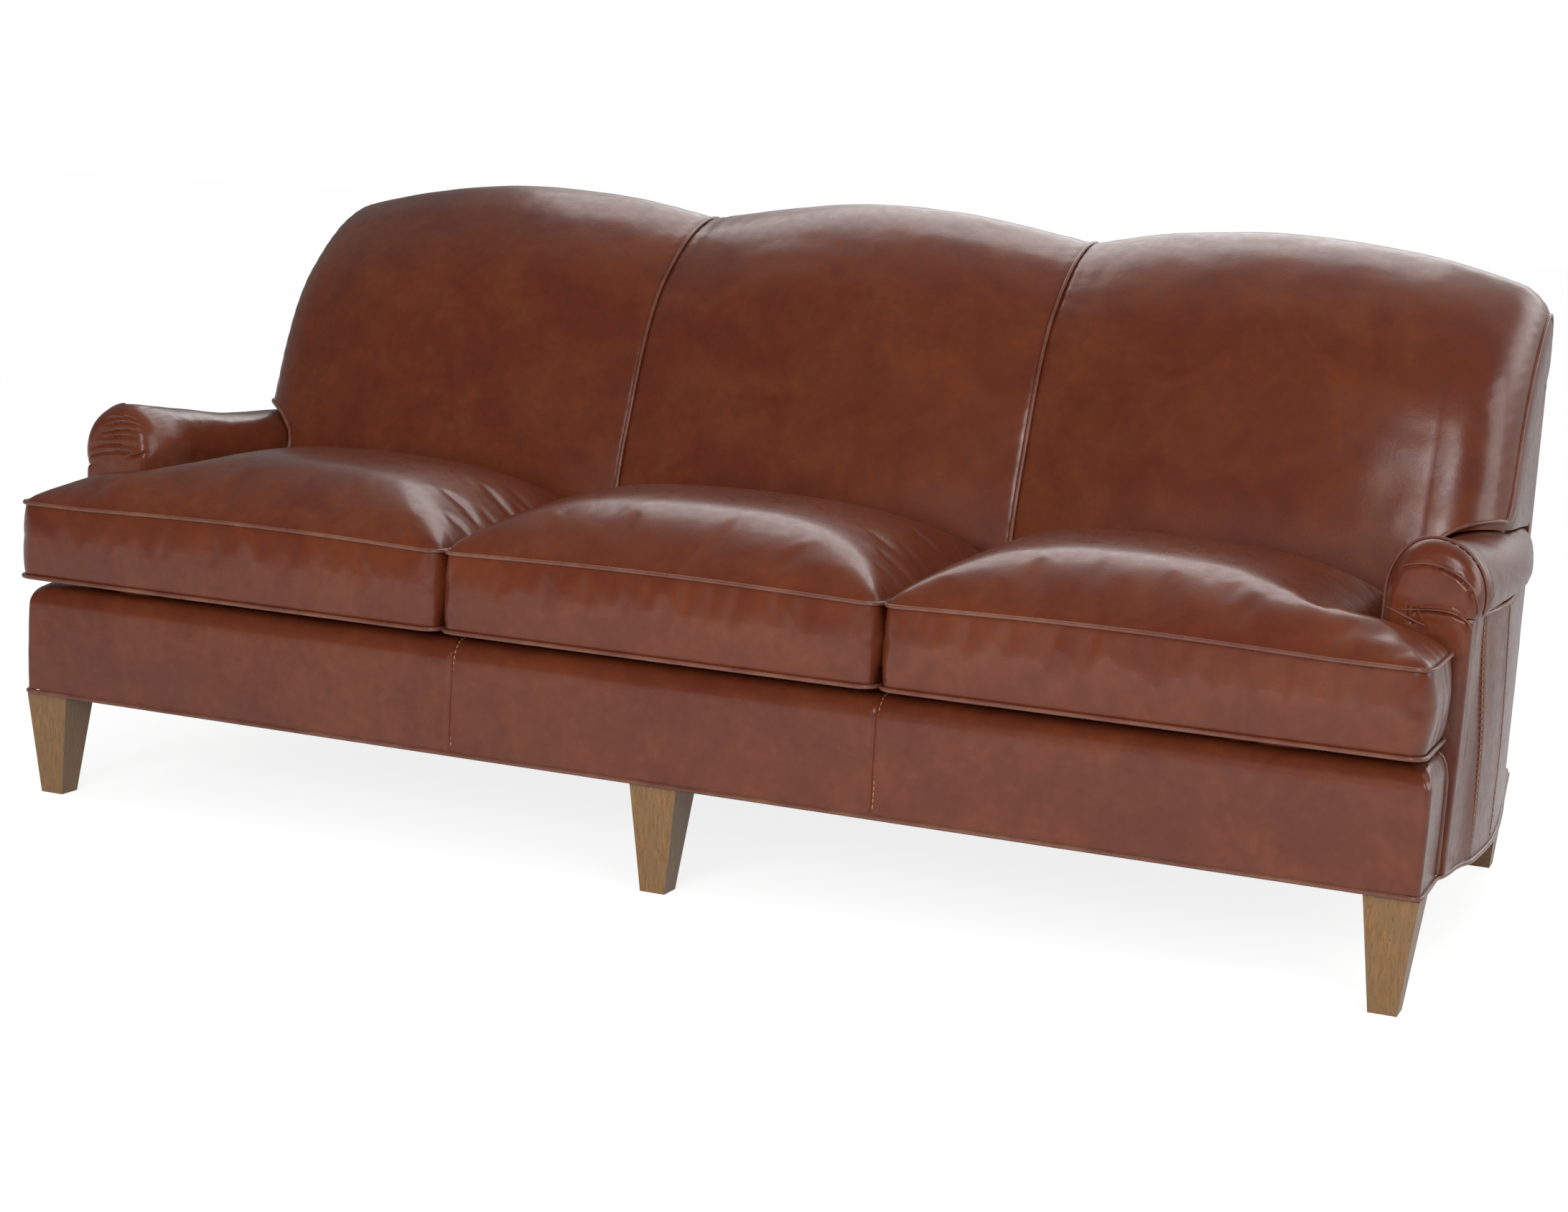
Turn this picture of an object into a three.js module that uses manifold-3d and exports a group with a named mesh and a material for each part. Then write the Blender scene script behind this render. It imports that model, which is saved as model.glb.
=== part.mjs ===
// A three-seat camelback sofa: six tapered legs, a hardwood and plywood frame,
// sinuous seat springs, leather covers over padding, rolled arms and three loose
// cushions. Millimetres, +Z up, +X to the right of someone facing the sofa, and
// +Y from the front to the back. While it is built, y is 0 at the front cover's
// face and z is 0 on the floor. At the end the whole is centred over its box.
import * as THREE from 'three';
import { mergeVertices } from 'three/addons/utils/BufferGeometryUtils.js';
import Module from 'manifold-3d';

const wasm = await Module();
wasm.setup();

// Clearances and overruns
const gap = 0.3; // air between pieces that touch
const overrun = 5; // how far a cutting shape passes a face

// Overall sizes, to the faces of the covers
const coverHalfWidth = 1072; // side face of the front border
const frameRear = 895; // rear face of the timber, behind the front cover's face
const centreCrest = 980;
const seamX = 335; // welted seams between the three seats

// Legs
const legTopWidth = 72;
const legFootWidth = 38;
const legHeight = 157.7;
const frontLegY = 40;
const rearLegInset = 8; // how far the rear legs stand inside the front ones
const rearLegSetback = 10; // between a rear leg's middle and the timber's rear face
const rearLegRake = 55; // how far a rear foot stands behind its top
const studRadius = 5;
const studLength = 35;
const studClearance = 0.5;

// Timber frame
const sidePadding = 20;
const frameFront = 12;
const railHeight = 140;
const railThickness = 45;
const sideRailThickness = 32;
const stretcherThickness = 32;
const uprightThickness = 25;
const uprightDrop = 15; // from the lip of the back's cover down to the uprights' top
const topRailThickness = 32;
const topRailCover = 75; // padding between the top rail and the crest
const tackRailThickness = 19.7;
const tackRailHeight = 60;
const tackRailLift = 15; // above the seat deck
const armPostThickness = 30;
const armRailHeight = 25;
const armRailCover = 54; // from the arm's highest point at the front down to the rail
const cornerBlockReach = 80;
const cornerBlockHeight = 60;

// Covers and padding
const deckThickness = 27.4;
const borderSetback = 25; // from the border's rear edge to the arms' front
const borderLip = 60; // how far its padded top reaches back
const borderRound = 30; // radius of its padded top edge
const borderBulge = 3;
const cornerRound = 10;
const weltRadius = 3.5;
const weltProud = 1; // how far the base welt stands out from the covers
const weltSink = 2; // how deep the cords of the back lie in their seams
const weltClearance = 1.3; // between the legs and the base welt
const dustCoverThickness = 1.5;
const dustCoverInset = 7;

// Rolled arms
const armFront = 155;
const armWidth = 116; // from the front border's side to the arm's inner face
const armWall = 18.7; // padding on the inner face
const armFacing = 14.7; // padding on the front face
const rollRadius = 72;
const rollOffset = 66; // from the inner face to the middle of the roll
const rollTop = 598;
const rollDrop = 98; // from the roll's top down to the side panel
const armNoseRound = 22;
const armReturnReach = 95; // from the arm's front to the seam of the side panel
const sideBow = 34; // how far the padded side stands out past the front border
const sideRearInset = 13.5;

// Seat springs
const springWire = 4;
const springReach = 24; // half the width of a spring's loops
const springLoops = 7;

// Tight back with three crowned panels
const backInset = 14; // from the front border's side to the back's end
const backFrontAtDeck = 500;
const backPadding = 140; // between the face of the back and the uprights
const backOverhang = 50; // how far the crest stands out behind the timber
const crestDrop = 42; // from the middle crest down to the seams
const outerCrestDrop = 6;
const outerCrestShare = 0.422; // where an outer panel is highest, from its seam to its end
const backCornerRound = 50;
const backBulge = 24;
const backWrap = 118; // how far the ends sweep back
const backWrapReach = 123; // the stretch over which they do
const backLip = 815; // lower edge of the cover behind the crest
const outsideBackPadding = 30;
const wingClearance = 1.5; // between a wing of the back and the arm below it
const endWeltDrop = 12; // from the arm's highest point down to the end welt's foot

// Loose seat cushions
const cushionFront = -33;
const backClearance = 20; // between the cushions and the back
const cushionSplit = 1; // half the gap between two cushions
const armClearance = 10; // between a cushion and the arm's inner face
const earInset = 6; // from the front border's side to the ear's side
const earClearance = 5; // between the ear and the arm's front
const cushionLift = 17; // from the deck to the lower seam, clear of the bulging base
const boxingHeight = 114;
const seamRise = 6; // how much the top seam rises between the corners
const crownHeight = 86;
const crownReach = 230; // distance from the edge at which the crown is full
const boxingBulge = 5;
const cushionCorner = 6;
const casingThickness = 3;
const coreClearance = 0.4;
const zipHeight = 12;
const zipDepth = 2.4;
const zipSliderLength = 24;

const mix = THREE.MathUtils.lerp;

// Places worked out from the sizes above
const frameHalfWidth = coverHalfWidth - sidePadding;
const frontLegX = coverHalfWidth - legTopWidth / 2;
const rearLegX = frontLegX - rearLegInset;
const rearLegY = frameRear - rearLegSetback;
const frameBase = legHeight + gap;
const railTop = frameBase + railHeight;
const springTop = railTop + gap + springWire;
const deckBase = springTop + gap;
const deckHeight = deckBase + deckThickness;
const coverBase = legHeight + weltClearance + weltRadius * 2 + gap;
const outerUprightX = frameHalfWidth - sideRailThickness / 2;
const uprightTop = backLip - uprightDrop;
const uprightFront = backFrontAtDeck + backPadding;
const tackRailBase = deckHeight + tackRailLift;
const borderDepth = armFront - borderSetback;
const armInner = coverHalfWidth - armWidth;
const armSeam = armFront + armReturnReach;
const armPanelTop = rollTop - rollDrop;
const armPanelBow = coverHalfWidth + sideBow;
const armPanelRearX = coverHalfWidth - sideRearInset;
const rollCentreX = armInner + rollOffset;
const rollCentreZ = rollTop - rollRadius;
const armPostFront = armFront + armFacing + gap;
const armRailTop = rollTop - armRailCover;
const backHalfWidth = coverHalfWidth - backInset;
const backRearTop = frameRear + backOverhang;
const backWrapStart = backHalfWidth - backWrapReach;
const outerCrestX = mix(seamX, backHalfWidth, outerCrestShare);
const valleyHeight = centreCrest - crestDrop;
const outerCrest = centreCrest - outerCrestDrop;
const outsideBackFoot = frameRear + outsideBackPadding;
const cushionRear = backFrontAtDeck - backClearance;
const cushionSide = armInner - armClearance;
const earSide = coverHalfWidth - earInset;
const earRear = armFront - earClearance;
const bottomSeam = deckHeight + cushionLift;
const topSeam = bottomSeam + boxingHeight;

const finish = (color, roughness, metalness = 0) =>
  new THREE.MeshStandardMaterial({ color, roughness, metalness });
const leather = finish(0x6b3926, 0.35);
const weltLeather = finish(0x7c452d, 0.35);
const stainedWood = finish(0x84623f, 0.45);
const hardwood = finish(0xc6a577, 0.7);
const plywood = finish(0xd6bd8f, 0.75);
const springSteel = finish(0x6d6f73, 0.4, 0.9);
const deckCloth = finish(0x3b2a22, 0.9);
const dustCloth = finish(0x1b1b1c, 0.95);
const foam = finish(0xe9dfc4, 0.95);
const zipBrass = finish(0x9a7a3c, 0.4, 0.8);

// Geometry helpers
const corner = (x, y, z) => new THREE.Vector3(x, y, z);

function volumeOf(positions, triangles) {
  let six = 0;
  for (let i = 0; i < triangles.length; i += 3) {
    const [a, b, c] = [0, 1, 2].map((k) => positions[triangles[i + k]]);
    six += a.dot(b.clone().cross(c));
  }
  return six / 6;
}

function geometryFrom(positions, triangles) {
  const turned = volumeOf(positions, triangles) < 0 ? triangles.slice().reverse() : triangles;
  const geometry = new THREE.BufferGeometry().setFromPoints(positions);
  geometry.setIndex(turned);
  return geometry;
}

// The faces between rings of equally many points, on to the first ring in a loop
function ringSides(rings, looped) {
  const count = rings[0].length;
  const spans = looped ? rings.length : rings.length - 1;
  const triangles = [];
  for (let r = 0; r < spans; r += 1) {
    const next = ((r + 1) % rings.length) * count;
    for (let p = 0; p < count; p += 1) {
      const q = (p + 1) % count;
      triangles.push(r * count + p, r * count + q, next + q);
      triangles.push(r * count + p, next + q, next + p);
    }
  }
  return triangles;
}

// A solid through rings of equally many points. The end rings lie flat across
// the named axis.
function loft(rings, axis) {
  const triangles = ringSides(rings, false);
  const flat = (v) => {
    if (axis === 'x') return new THREE.Vector2(v.y, v.z);
    if (axis === 'y') return new THREE.Vector2(v.z, v.x);
    return new THREE.Vector2(v.x, v.y);
  };
  const cap = (ring, first, forward) => {
    THREE.ShapeUtils.triangulateShape(ring.map(flat), []).forEach((face) => {
      const numbers = face.map((point) => first + point);
      triangles.push(...(forward ? numbers : numbers.reverse()));
    });
  };
  const turn = THREE.ShapeUtils.area(rings[0].map(flat)) > 0;
  cap(rings[0], 0, !turn);
  cap(rings.at(-1), (rings.length - 1) * rings[0].length, turn);
  return geometryFrom(rings.flat(), triangles);
}

// A block between two corners
function block(x0, x1, y0, y1, z0, z1) {
  const box = new THREE.BoxGeometry(x1 - x0, y1 - y0, z1 - z0);
  return box.translate((x0 + x1) / 2, (y0 + y1) / 2, (z0 + z1) / 2);
}

// A board cut to an outline of [y, z] points, from x0 to x1
const boardAcross = (outline, x0, x1) =>
  loft([x0, x1].map((x) => outline.map(([y, z]) => corner(x, y, z))), 'x');

// A board cut to an outline of [x, z] points, from y0 to y1
const boardAlong = (outline, y0, y1) =>
  loft([y0, y1].map((y) => outline.map(([x, z]) => corner(x, y, z))), 'y');

// A slab cut to an outline of [x, y] points, from z0 to z1
const slab = (outline, z0, z1) =>
  loft([z0, z1].map((z) => outline.map(([x, y]) => corner(x, y, z))), 'z');

function toSolid(geometry) {
  const bare = geometry.clone();
  Object.keys(bare.attributes).filter((key) => key !== 'position')
    .forEach((key) => bare.deleteAttribute(key));
  const welded = mergeVertices(bare);
  return new wasm.Manifold(new wasm.Mesh({
    numProp: 3,
    vertProperties: new Float32Array(welded.attributes.position.array),
    triVerts: new Uint32Array(welded.index.array),
  }));
}

function toGeometry(solid) {
  const mesh = solid.getMesh();
  const geometry = new THREE.BufferGeometry();
  geometry.setAttribute('position', new THREE.BufferAttribute(mesh.vertProperties, 3));
  geometry.setIndex(new THREE.BufferAttribute(mesh.triVerts, 1));
  return geometry;
}

function cut(geometry, ...tools) {
  return toGeometry(tools.reduce((solid, tool) => solid.subtract(toSolid(tool)), toSolid(geometry)));
}

const join = (a, b) => toGeometry(toSolid(a).add(toSolid(b)));

function mirrored(geometry) {
  const copy = geometry.clone().applyMatrix4(new THREE.Matrix4().makeScale(-1, 1, 1));
  const index = Array.from(copy.index.array).reverse();
  copy.setIndex(index);
  return copy;
}

// A round section swept along points that lie level or in a plane across X
function sweep(path, radius, sides, looped = false) {
  const level = path.every((point) => point.z === path[0].z);
  const fixed = level ? corner(0, 0, 1) : corner(1, 0, 0);
  const rings = path.map((point, i) => {
    const before = looped ? path.at(i - 1) : path[Math.max(i - 1, 0)];
    const after = looped ? path[(i + 1) % path.length] : path[Math.min(i + 1, path.length - 1)];
    const along = after.clone().sub(before).normalize();
    const side = fixed.clone().addScaledVector(along, -fixed.dot(along)).normalize();
    const up = side.clone().cross(along).normalize();
    return Array.from({ length: sides }, (_, s) => {
      const turn = ((s + 0.5) / sides) * Math.PI * 2;
      return point.clone()
        .addScaledVector(side, Math.cos(turn) * radius)
        .addScaledVector(up, Math.sin(turn) * radius);
    });
  });
  const triangles = ringSides(rings, looped);
  if (!looped) {
    const last = (rings.length - 1) * sides;
    for (let p = 1; p < sides - 1; p += 1) {
      triangles.push(0, p + 1, p);
      triangles.push(last, last + p, last + p + 1);
    }
  }
  return geometryFrom(rings.flat(), triangles);
}

const sofa = new THREE.Group();
sofa.name = 'sofa';

function place(name, geometry, material) {
  const mesh = new THREE.Mesh(geometry, material);
  mesh.name = name;
  sofa.add(mesh);
}

function placePair(name, geometry, material) {
  place(`${name}_right`, geometry, material);
  place(`${name}_left`, mirrored(geometry), material);
}

// Legs: tapered square feet with a steel stud that screws up into the rails
const legSpots = [
  ['front_right', frontLegX, frontLegY, 0],
  ['front_centre', 0, frontLegY, 0],
  ['front_left', -frontLegX, frontLegY, 0],
  ['rear_right', rearLegX, rearLegY, rearLegRake],
  ['rear_centre', 0, rearLegY, rearLegRake],
  ['rear_left', -rearLegX, rearLegY, rearLegRake],
];

const square = (x, y, z, half) =>
  [[-1, -1], [1, -1], [1, 1], [-1, 1]].map(([i, j]) => corner(x + i * half, y + j * half, z));

function stud(x, y, radius, z0, z1) {
  const round = new THREE.CylinderGeometry(radius, radius, z1 - z0, 12);
  return round.rotateX(Math.PI / 2).translate(x, y, (z0 + z1) / 2);
}

legSpots.forEach(([spot, x, y, rake]) => {
  const post = loft([
    square(x, y + rake, 0, legFootWidth / 2),
    square(x, y, legHeight, legTopWidth / 2),
  ], 'z');
  const screw = stud(x, y, studRadius, legHeight - overrun, legHeight + studLength);
  place(`leg_${spot}`, join(post, screw), stainedWood);
});

const studHoles = legSpots.map(([, x, y]) => stud(
  x, y, studRadius + studClearance, frameBase - overrun, legHeight + studLength + overrun,
));

// Seat frame: two long rails, two side rails, two stretchers and corner blocks
place('front_rail', cut(
  block(-frameHalfWidth, frameHalfWidth, frameFront, frameFront + railThickness, frameBase, railTop),
  ...studHoles,
), hardwood);

const sideRailInner = frameHalfWidth - sideRailThickness;
const railsInnerFront = frameFront + railThickness;
const railsInnerRear = frameRear - railThickness;

placePair('side_rail', cut(
  block(sideRailInner, frameHalfWidth, railsInnerFront + gap, frameRear, frameBase, railTop),
  ...studHoles,
), hardwood);

place('rear_rail', cut(
  block(-sideRailInner + gap, sideRailInner - gap, railsInnerRear, frameRear, frameBase, railTop),
  ...studHoles,
), hardwood);

placePair('seat_stretcher', block(
  seamX - stretcherThickness / 2, seamX + stretcherThickness / 2,
  railsInnerFront + gap, railsInnerRear - gap, frameBase, railTop,
), hardwood);

const blockX = sideRailInner - gap;
const blockFront = railsInnerFront + gap;
const blockRear = railsInnerRear - gap;
placePair('front_corner_block', slab([
  [blockX, blockFront], [blockX, blockFront + cornerBlockReach],
  [blockX - cornerBlockReach, blockFront],
], frameBase, frameBase + cornerBlockHeight), hardwood);
placePair('rear_corner_block', slab([
  [blockX, blockRear], [blockX - cornerBlockReach, blockRear],
  [blockX, blockRear - cornerBlockReach],
], frameBase, frameBase + cornerBlockHeight), hardwood);

// Back frame: four plywood uprights, a three-hump top rail and a tacking rail.
// The outline's shares run from the front edge to the rear, and from the rails
// to the uprights' top.
const uprightShares = [
  [0, 0], [1, 0], [1, 1], [0.53, 1], [0.275, 0.8], [0.098, 0.52], [0, 0.26],
];
const uprightOutline = (spread) => uprightShares.map(([s, t]) => [
  mix(uprightFront, frameRear, s) + (s < 1 ? -spread : spread),
  mix(railTop + gap, uprightTop, t) + (t === 1 ? spread : 0),
]);
const upright = (x, spread) => boardAcross(
  uprightOutline(spread), x - uprightThickness / 2 - spread, x + uprightThickness / 2 + spread,
);
placePair('back_upright_outer', upright(outerUprightX, 0), plywood);
placePair('back_upright_inner', upright(seamX, 0), plywood);

// Height of the back's crest at a distance from the middle
function crestAt(x) {
  const side = Math.abs(x);
  if (side <= seamX) {
    return valleyHeight + (centreCrest - valleyHeight) * Math.cos((side / seamX) * (Math.PI / 2));
  }
  const away = (side - outerCrestX) / (outerCrestX - seamX);
  const roundStart = backHalfWidth - backCornerRound;
  const past = Math.max(side - roundStart, 0);
  const rounding = backCornerRound - Math.sqrt(Math.max(backCornerRound ** 2 - past ** 2, 0));
  return outerCrest - (outerCrest - valleyHeight) * away ** 2 - rounding;
}

const crestShares = [0, 0.12, 0.24, 0.318, 0.36, 0.45, 0.6, 0.75, 0.88, 1];
const topRailReach = outerUprightX + uprightThickness / 2;
const topRailStations = [...crestShares.slice(1).reverse().map((share) => -share), ...crestShares];
const topRailOutline = (spread) => [
  [topRailReach + spread, uprightTop + gap - spread],
  [-topRailReach - spread, uprightTop + gap - spread],
  ...topRailStations.map((share) => [
    share * (topRailReach + spread), crestAt(share * topRailReach) - topRailCover + spread,
  ]),
];
place('top_rail', boardAlong(
  topRailOutline(0), frameRear - topRailThickness, frameRear,
), hardwood);

const tackRail = (spread) => block(
  -topRailReach - spread, topRailReach + spread,
  uprightFront - gap - tackRailThickness - spread, uprightFront - gap + spread,
  tackRailBase - spread, tackRailBase + tackRailHeight + spread,
);
place('back_tacking_rail', tackRail(0), hardwood);

// Arm frame: a front post on each side rail and a rail back to the upright
const armPostInner = armInner + armWall + gap;
placePair('arm_post', block(
  armPostInner, frameHalfWidth, armPostFront, armPostFront + armPostThickness,
  railTop + gap, armRailTop - armRailHeight - gap,
), hardwood);

const armRailBase = armRailTop - armRailHeight;
const uprightFrontAt = (z) => {
  const up = (z - railTop - gap) / (uprightTop - railTop - gap);
  const front = uprightShares.slice(3).reverse();
  const next = front.findIndex(([, t]) => t >= up);
  const [[s0, t0], [s1, t1]] = [front[next - 1] ?? front[0], front[next]];
  return mix(uprightFront, frameRear, mix(s0, s1, (up - t0) / (t1 - t0)));
};
placePair('arm_rail', block(
  armPostInner, frameHalfWidth, armPostFront, uprightFrontAt(armRailBase) - gap,
  armRailBase, armRailTop,
), hardwood);

// Sinuous springs: wire bent to and fro, from the front rail to the rear rail.
// Shares run along a bend and out to its side.
const springBendShares = [[0.16, 0.82], [0.5, 1], [0.84, 0.82]];

function springPath(x) {
  const start = frameFront + railThickness / 2;
  const end = frameRear - railThickness / 2;
  const z = railTop + gap + springWire / 2;
  const turns = springLoops * 2;
  const path = [corner(x, start, z)];
  for (let turn = 0; turn < turns; turn += 1) {
    const side = turn % 2 === 0 ? 1 : -1;
    springBendShares.forEach(([along, out]) => path.push(corner(
      x + side * springReach * out, mix(start, end, (turn + along) / turns), z,
    )));
  }
  path.push(corner(x, end, z));
  return path;
}

// Each seat has three, shared out between the timbers on its two sides
const springShares = [0.2, 0.5, 0.8];
const centreBay = seamX - stretcherThickness / 2;
const outerBay = seamX + stretcherThickness / 2;
[
  ['left', -sideRailInner, -outerBay], ['centre', -centreBay, centreBay],
  ['right', outerBay, sideRailInner],
].forEach(([seat, x0, x1]) => springShares.forEach((share, i) => {
  const spring = sweep(springPath(mix(x0, x1, share)), springWire / 2, 4);
  place(`seat_spring_${seat}_${i + 1}`, spring, springSteel);
}));

// Seat deck: a padded cloth deck over the springs, wider in front of the arms
const deckFront = borderLip + gap;
const deckRear = uprightFront - gap;
const deckWide = frameHalfWidth;
const deckNarrow = armPostInner - gap;
const earDeckRear = armFront - gap;
place('seat_deck', slab([
  [-deckWide, deckFront], [deckWide, deckFront], [deckWide, earDeckRear],
  [deckNarrow, earDeckRear], [deckNarrow, deckRear], [-deckNarrow, deckRear],
  [-deckNarrow, earDeckRear], [-deckWide, earDeckRear],
], deckBase, deckHeight), deckCloth);

// Front border: a padded leather front with a rounded top and short side returns
const borderCornerShares = [0, 0.5, 1];
const borderFaceShares = [0, 0.45, 1];
const borderTopShares = [0.25, 0.5, 0.75, 1];
const borderEndShare = 0.6; // how much of the top's rounding the ends have

function roundedPlan(halfWidth, y0, y1, round, bulge) {
  const front = borderCornerShares.map((share) => {
    const turn = (share * Math.PI) / 2;
    return [halfWidth - round + round * Math.sin(turn), y0 + round - round * Math.cos(turn)];
  });
  const left = front.slice().reverse().map(([x, y]) => [-x, y]);
  return [...left, [0, y0 - bulge], ...front, [halfWidth, y1], [-halfWidth, y1]];
}

const borderRings = borderFaceShares.map((share) => [
  mix(coverBase, deckHeight - borderRound, share), 0,
]);
borderTopShares.forEach((share) => {
  const turn = (share * Math.PI) / 2;
  borderRings.push([
    deckHeight - borderRound + borderRound * Math.sin(turn),
    borderRound * (1 - Math.cos(turn)),
  ]);
});
const borderInner = frameHalfWidth + gap;
const border = loft(borderRings.map(([z, inset], i) => roundedPlan(
  coverHalfWidth - inset * borderEndShare, inset, borderDepth, cornerRound,
  i === 1 ? borderBulge : 0,
).map(([x, y]) => corner(x, y, z))), 'z');
place('front_border', cut(
  border,
  block(-borderInner, borderInner, frameFront - gap, borderDepth + overrun,
    coverBase - overrun, deckBase),
  block(-borderInner, borderInner, borderLip, borderDepth + overrun,
    coverBase, deckHeight + overrun),
), leather);

// Arm pads: the roll, its nose, the inner face and the upright front facing.
// The roll is round at the nose, and flatter and lower towards the back. Each station
// gives its place along the arm, then the shares of its half width, its half height,
// its sideways shift and its inset.
const armStationShares = [
  [0, 1, 1, 0, 1], [0.006, 1, 1, 0, 0.62], [0.018, 1, 1, 0, 0.28], [0.04, 1, 1, 0, 0],
  [0.11, 0.99, 0.99, 0.01, 0], [0.24, 0.98, 0.9, 0.03, 0], [0.42, 0.99, 0.806, 0.05, 0],
  [0.54, 1.01, 0.778, 0.06, 0], [0.7, 0.98, 0.762, 0.007, 0], [0.85, 0.896, 0.76, -0.09, 0],
  [1, 0.8, 0.76, -0.17, 0],
];
const rollTurnShares = [1.1, 0.96, 0.82, 0.68, 0.55, 0.42, 0.29, 0.15, 0, -0.1];
const rollSinkShare = 0.5; // how much a flatter roll's middle drops with its top
const rollUnderShare = 0.82; // where the roll meets the panel below it

function armSection(share, widthShare, heightShare, shiftShare, insetShare, spread) {
  const y = mix(armFront - spread, frameRear, share);
  const inset = insetShare * armNoseRound;
  const halfWidth = rollRadius * widthShare - inset + spread;
  const halfHeight = rollRadius * heightShare - inset + spread;
  const x = rollCentreX + rollRadius * shiftShare;
  const z = rollCentreZ - rollRadius * (1 - heightShare) * rollSinkShare;
  const under = armPanelTop + gap - spread;
  const foot = deckHeight + gap - spread;
  const ring = [[armInner + inset - spread, foot], [armInner + inset - spread, under - rollRadius]];
  rollTurnShares.forEach((turn) => ring.push([
    x + halfWidth * Math.cos(turn * Math.PI), z + halfHeight * Math.sin(turn * Math.PI),
  ]));
  ring.push(
    [x + halfWidth * rollUnderShare, under], [frameHalfWidth + gap, under],
    [frameHalfWidth + gap, foot],
  );
  return ring.map(([px, pz]) => corner(px, y, pz));
}

const armBody = (spread) => loft(
  armStationShares.map((shares) => armSection(...shares, spread)), 'y',
);

// The front cover goes on round the frame's side to the upright seam. Shares run
// out from the frame, against the border's padding, and back to the seam.
const armReturnShares = [[0.85, 0], [1.15, 0.09], [1.45, 0.6], [1.85, 0.82], [2.25, 1]];
const armReturnLeanShare = 0.6; // how far its front has leaned back at the deck

function armReturnOutline(front) {
  const start = frameHalfWidth + gap;
  const end = armSeam - gap;
  const side = armReturnShares.map(([out, back]) => [
    mix(start, coverHalfWidth, out), mix(front, end, back),
  ]);
  return [[start, front], ...side, [start, end]];
}
const armReturn = loft([
  [borderDepth + gap, coverBase], [mix(earRear, armFront, armReturnLeanShare), deckHeight],
  [armFront, armPanelTop + overrun],
].map(([front, z]) => armReturnOutline(front).map(([x, y]) => corner(x, y, z))), 'z');

const armVoid = block(
  armPostInner - gap, frameHalfWidth + gap, armPostFront - gap, frameRear + overrun,
  0, armRailTop + gap,
);
const armPad = cut(join(armBody(0), armReturn), armVoid, upright(outerUprightX, gap), tackRail(gap));
placePair('arm_pad', armPad, leather);

// Side panels: padded leather below the roll, bowed in plan, from the seam back
const sidePanelShares = [
  [0, 0.8], [0.1, 0.937], [0.22, 1], [0.36, 0.916], [0.52, 0.737], [0.7, 0.463], [0.86, 0.22],
  [1, 0],
];
const sidePanelOutline = [
  [frameHalfWidth + gap, armSeam],
  ...sidePanelShares.map(([along, bow]) => [
    mix(armPanelRearX, armPanelBow, bow), mix(armSeam, frameRear, along),
  ]),
  [frameHalfWidth + gap, frameRear],
];
placePair('side_panel', slab(sidePanelOutline, coverBase, armPanelTop), leather);

// Inside back: three stuffed panels, each a leather cover over its padding.
// Shares run from the front at the deck to the rear of the crest, and upwards.
const backShares = [
  [0, 0], [0.063, 0.143], [0.09, 0.261], [0.126, 0.373], [0.178, 0.482], [0.234, 0.6],
  [0.292, 0.7], [0.373, 0.796], [0.506, 0.89], [0.645, 0.958], [0.813, 1], [0.933, 0.993],
  [1, 0.944],
];
const swellShares = [0.1, 0.9]; // the part of a half wave that the stuffing follows

function bulgeAt(x) {
  const side = Math.abs(x);
  const reach = side <= seamX ? side / seamX : (side - outerCrestX) / (outerCrestX - seamX);
  return Math.abs(reach) < 1 ? backBulge * (1 - Math.abs(reach) ** 3) : 0;
}

function wrapAt(x) {
  const reach = (Math.abs(x) - backWrapStart) / (backHalfWidth - backWrapStart);
  return reach > 0 ? backWrap * (1 - Math.sqrt(Math.max(1 - reach ** 2, 0))) : 0;
}

function backPoint(x, [back, up]) {
  const crest = crestAt(x);
  const swell = Math.sin(Math.PI * mix(...swellShares, up));
  const y = mix(backFrontAtDeck, backRearTop, back)
    + wrapAt(x) * (1 - back ** 3) - bulgeAt(x) * swell;
  return corner(x, y, mix(deckHeight + gap, crest, up));
}

function backRing(x) {
  const ring = backShares.map((share) => backPoint(x, share));
  const low = backLip + gap;
  ring.push(corner(x, backRearTop, low), corner(x, frameRear, low));
  ring.push(corner(x, frameRear, deckHeight + gap));
  return ring;
}

const centreShares = [-1, -0.93, -0.78, -0.5, -0.2, 0.2, 0.5, 0.78, 0.93, 1];
const centrePanel = loft(centreShares.map((share) => backRing(share * (seamX - gap / 2))), 'x');
const outerShares = [0, 0.03, 0.1, 0.24, 0.42, 0.6, 0.76, 0.86, 0.92, 0.96, 0.985, 1];
const outerPanel = loft(
  outerShares.map((share) => backRing(mix(seamX + gap / 2, backHalfWidth, share))), 'x',
);

// The space that the uprights, the rails and the outside back take up
const backFrameReach = topRailReach + gap;
const uprightEdge = uprightOutline(gap).slice(3);
const backFrameSpace = boardAcross([
  [uprightFront - tackRailThickness - gap * 2, deckHeight],
  [uprightFront - tackRailThickness - gap * 2, tackRailBase + tackRailHeight + gap],
  [uprightFront - gap, tackRailBase + tackRailHeight + gap],
  ...uprightEdge.slice().reverse(),
  [frameRear - topRailThickness - gap, uprightTop + gap],
  [frameRear - topRailThickness - gap, backLip + gap * 2],
  [frameRear + overrun, backLip + gap * 2],
  [frameRear + overrun, deckHeight],
], -backFrameReach, backFrameReach);
const topRailSpace = boardAlong(
  topRailOutline(gap), frameRear - topRailThickness - gap, frameRear + gap,
);

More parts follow.
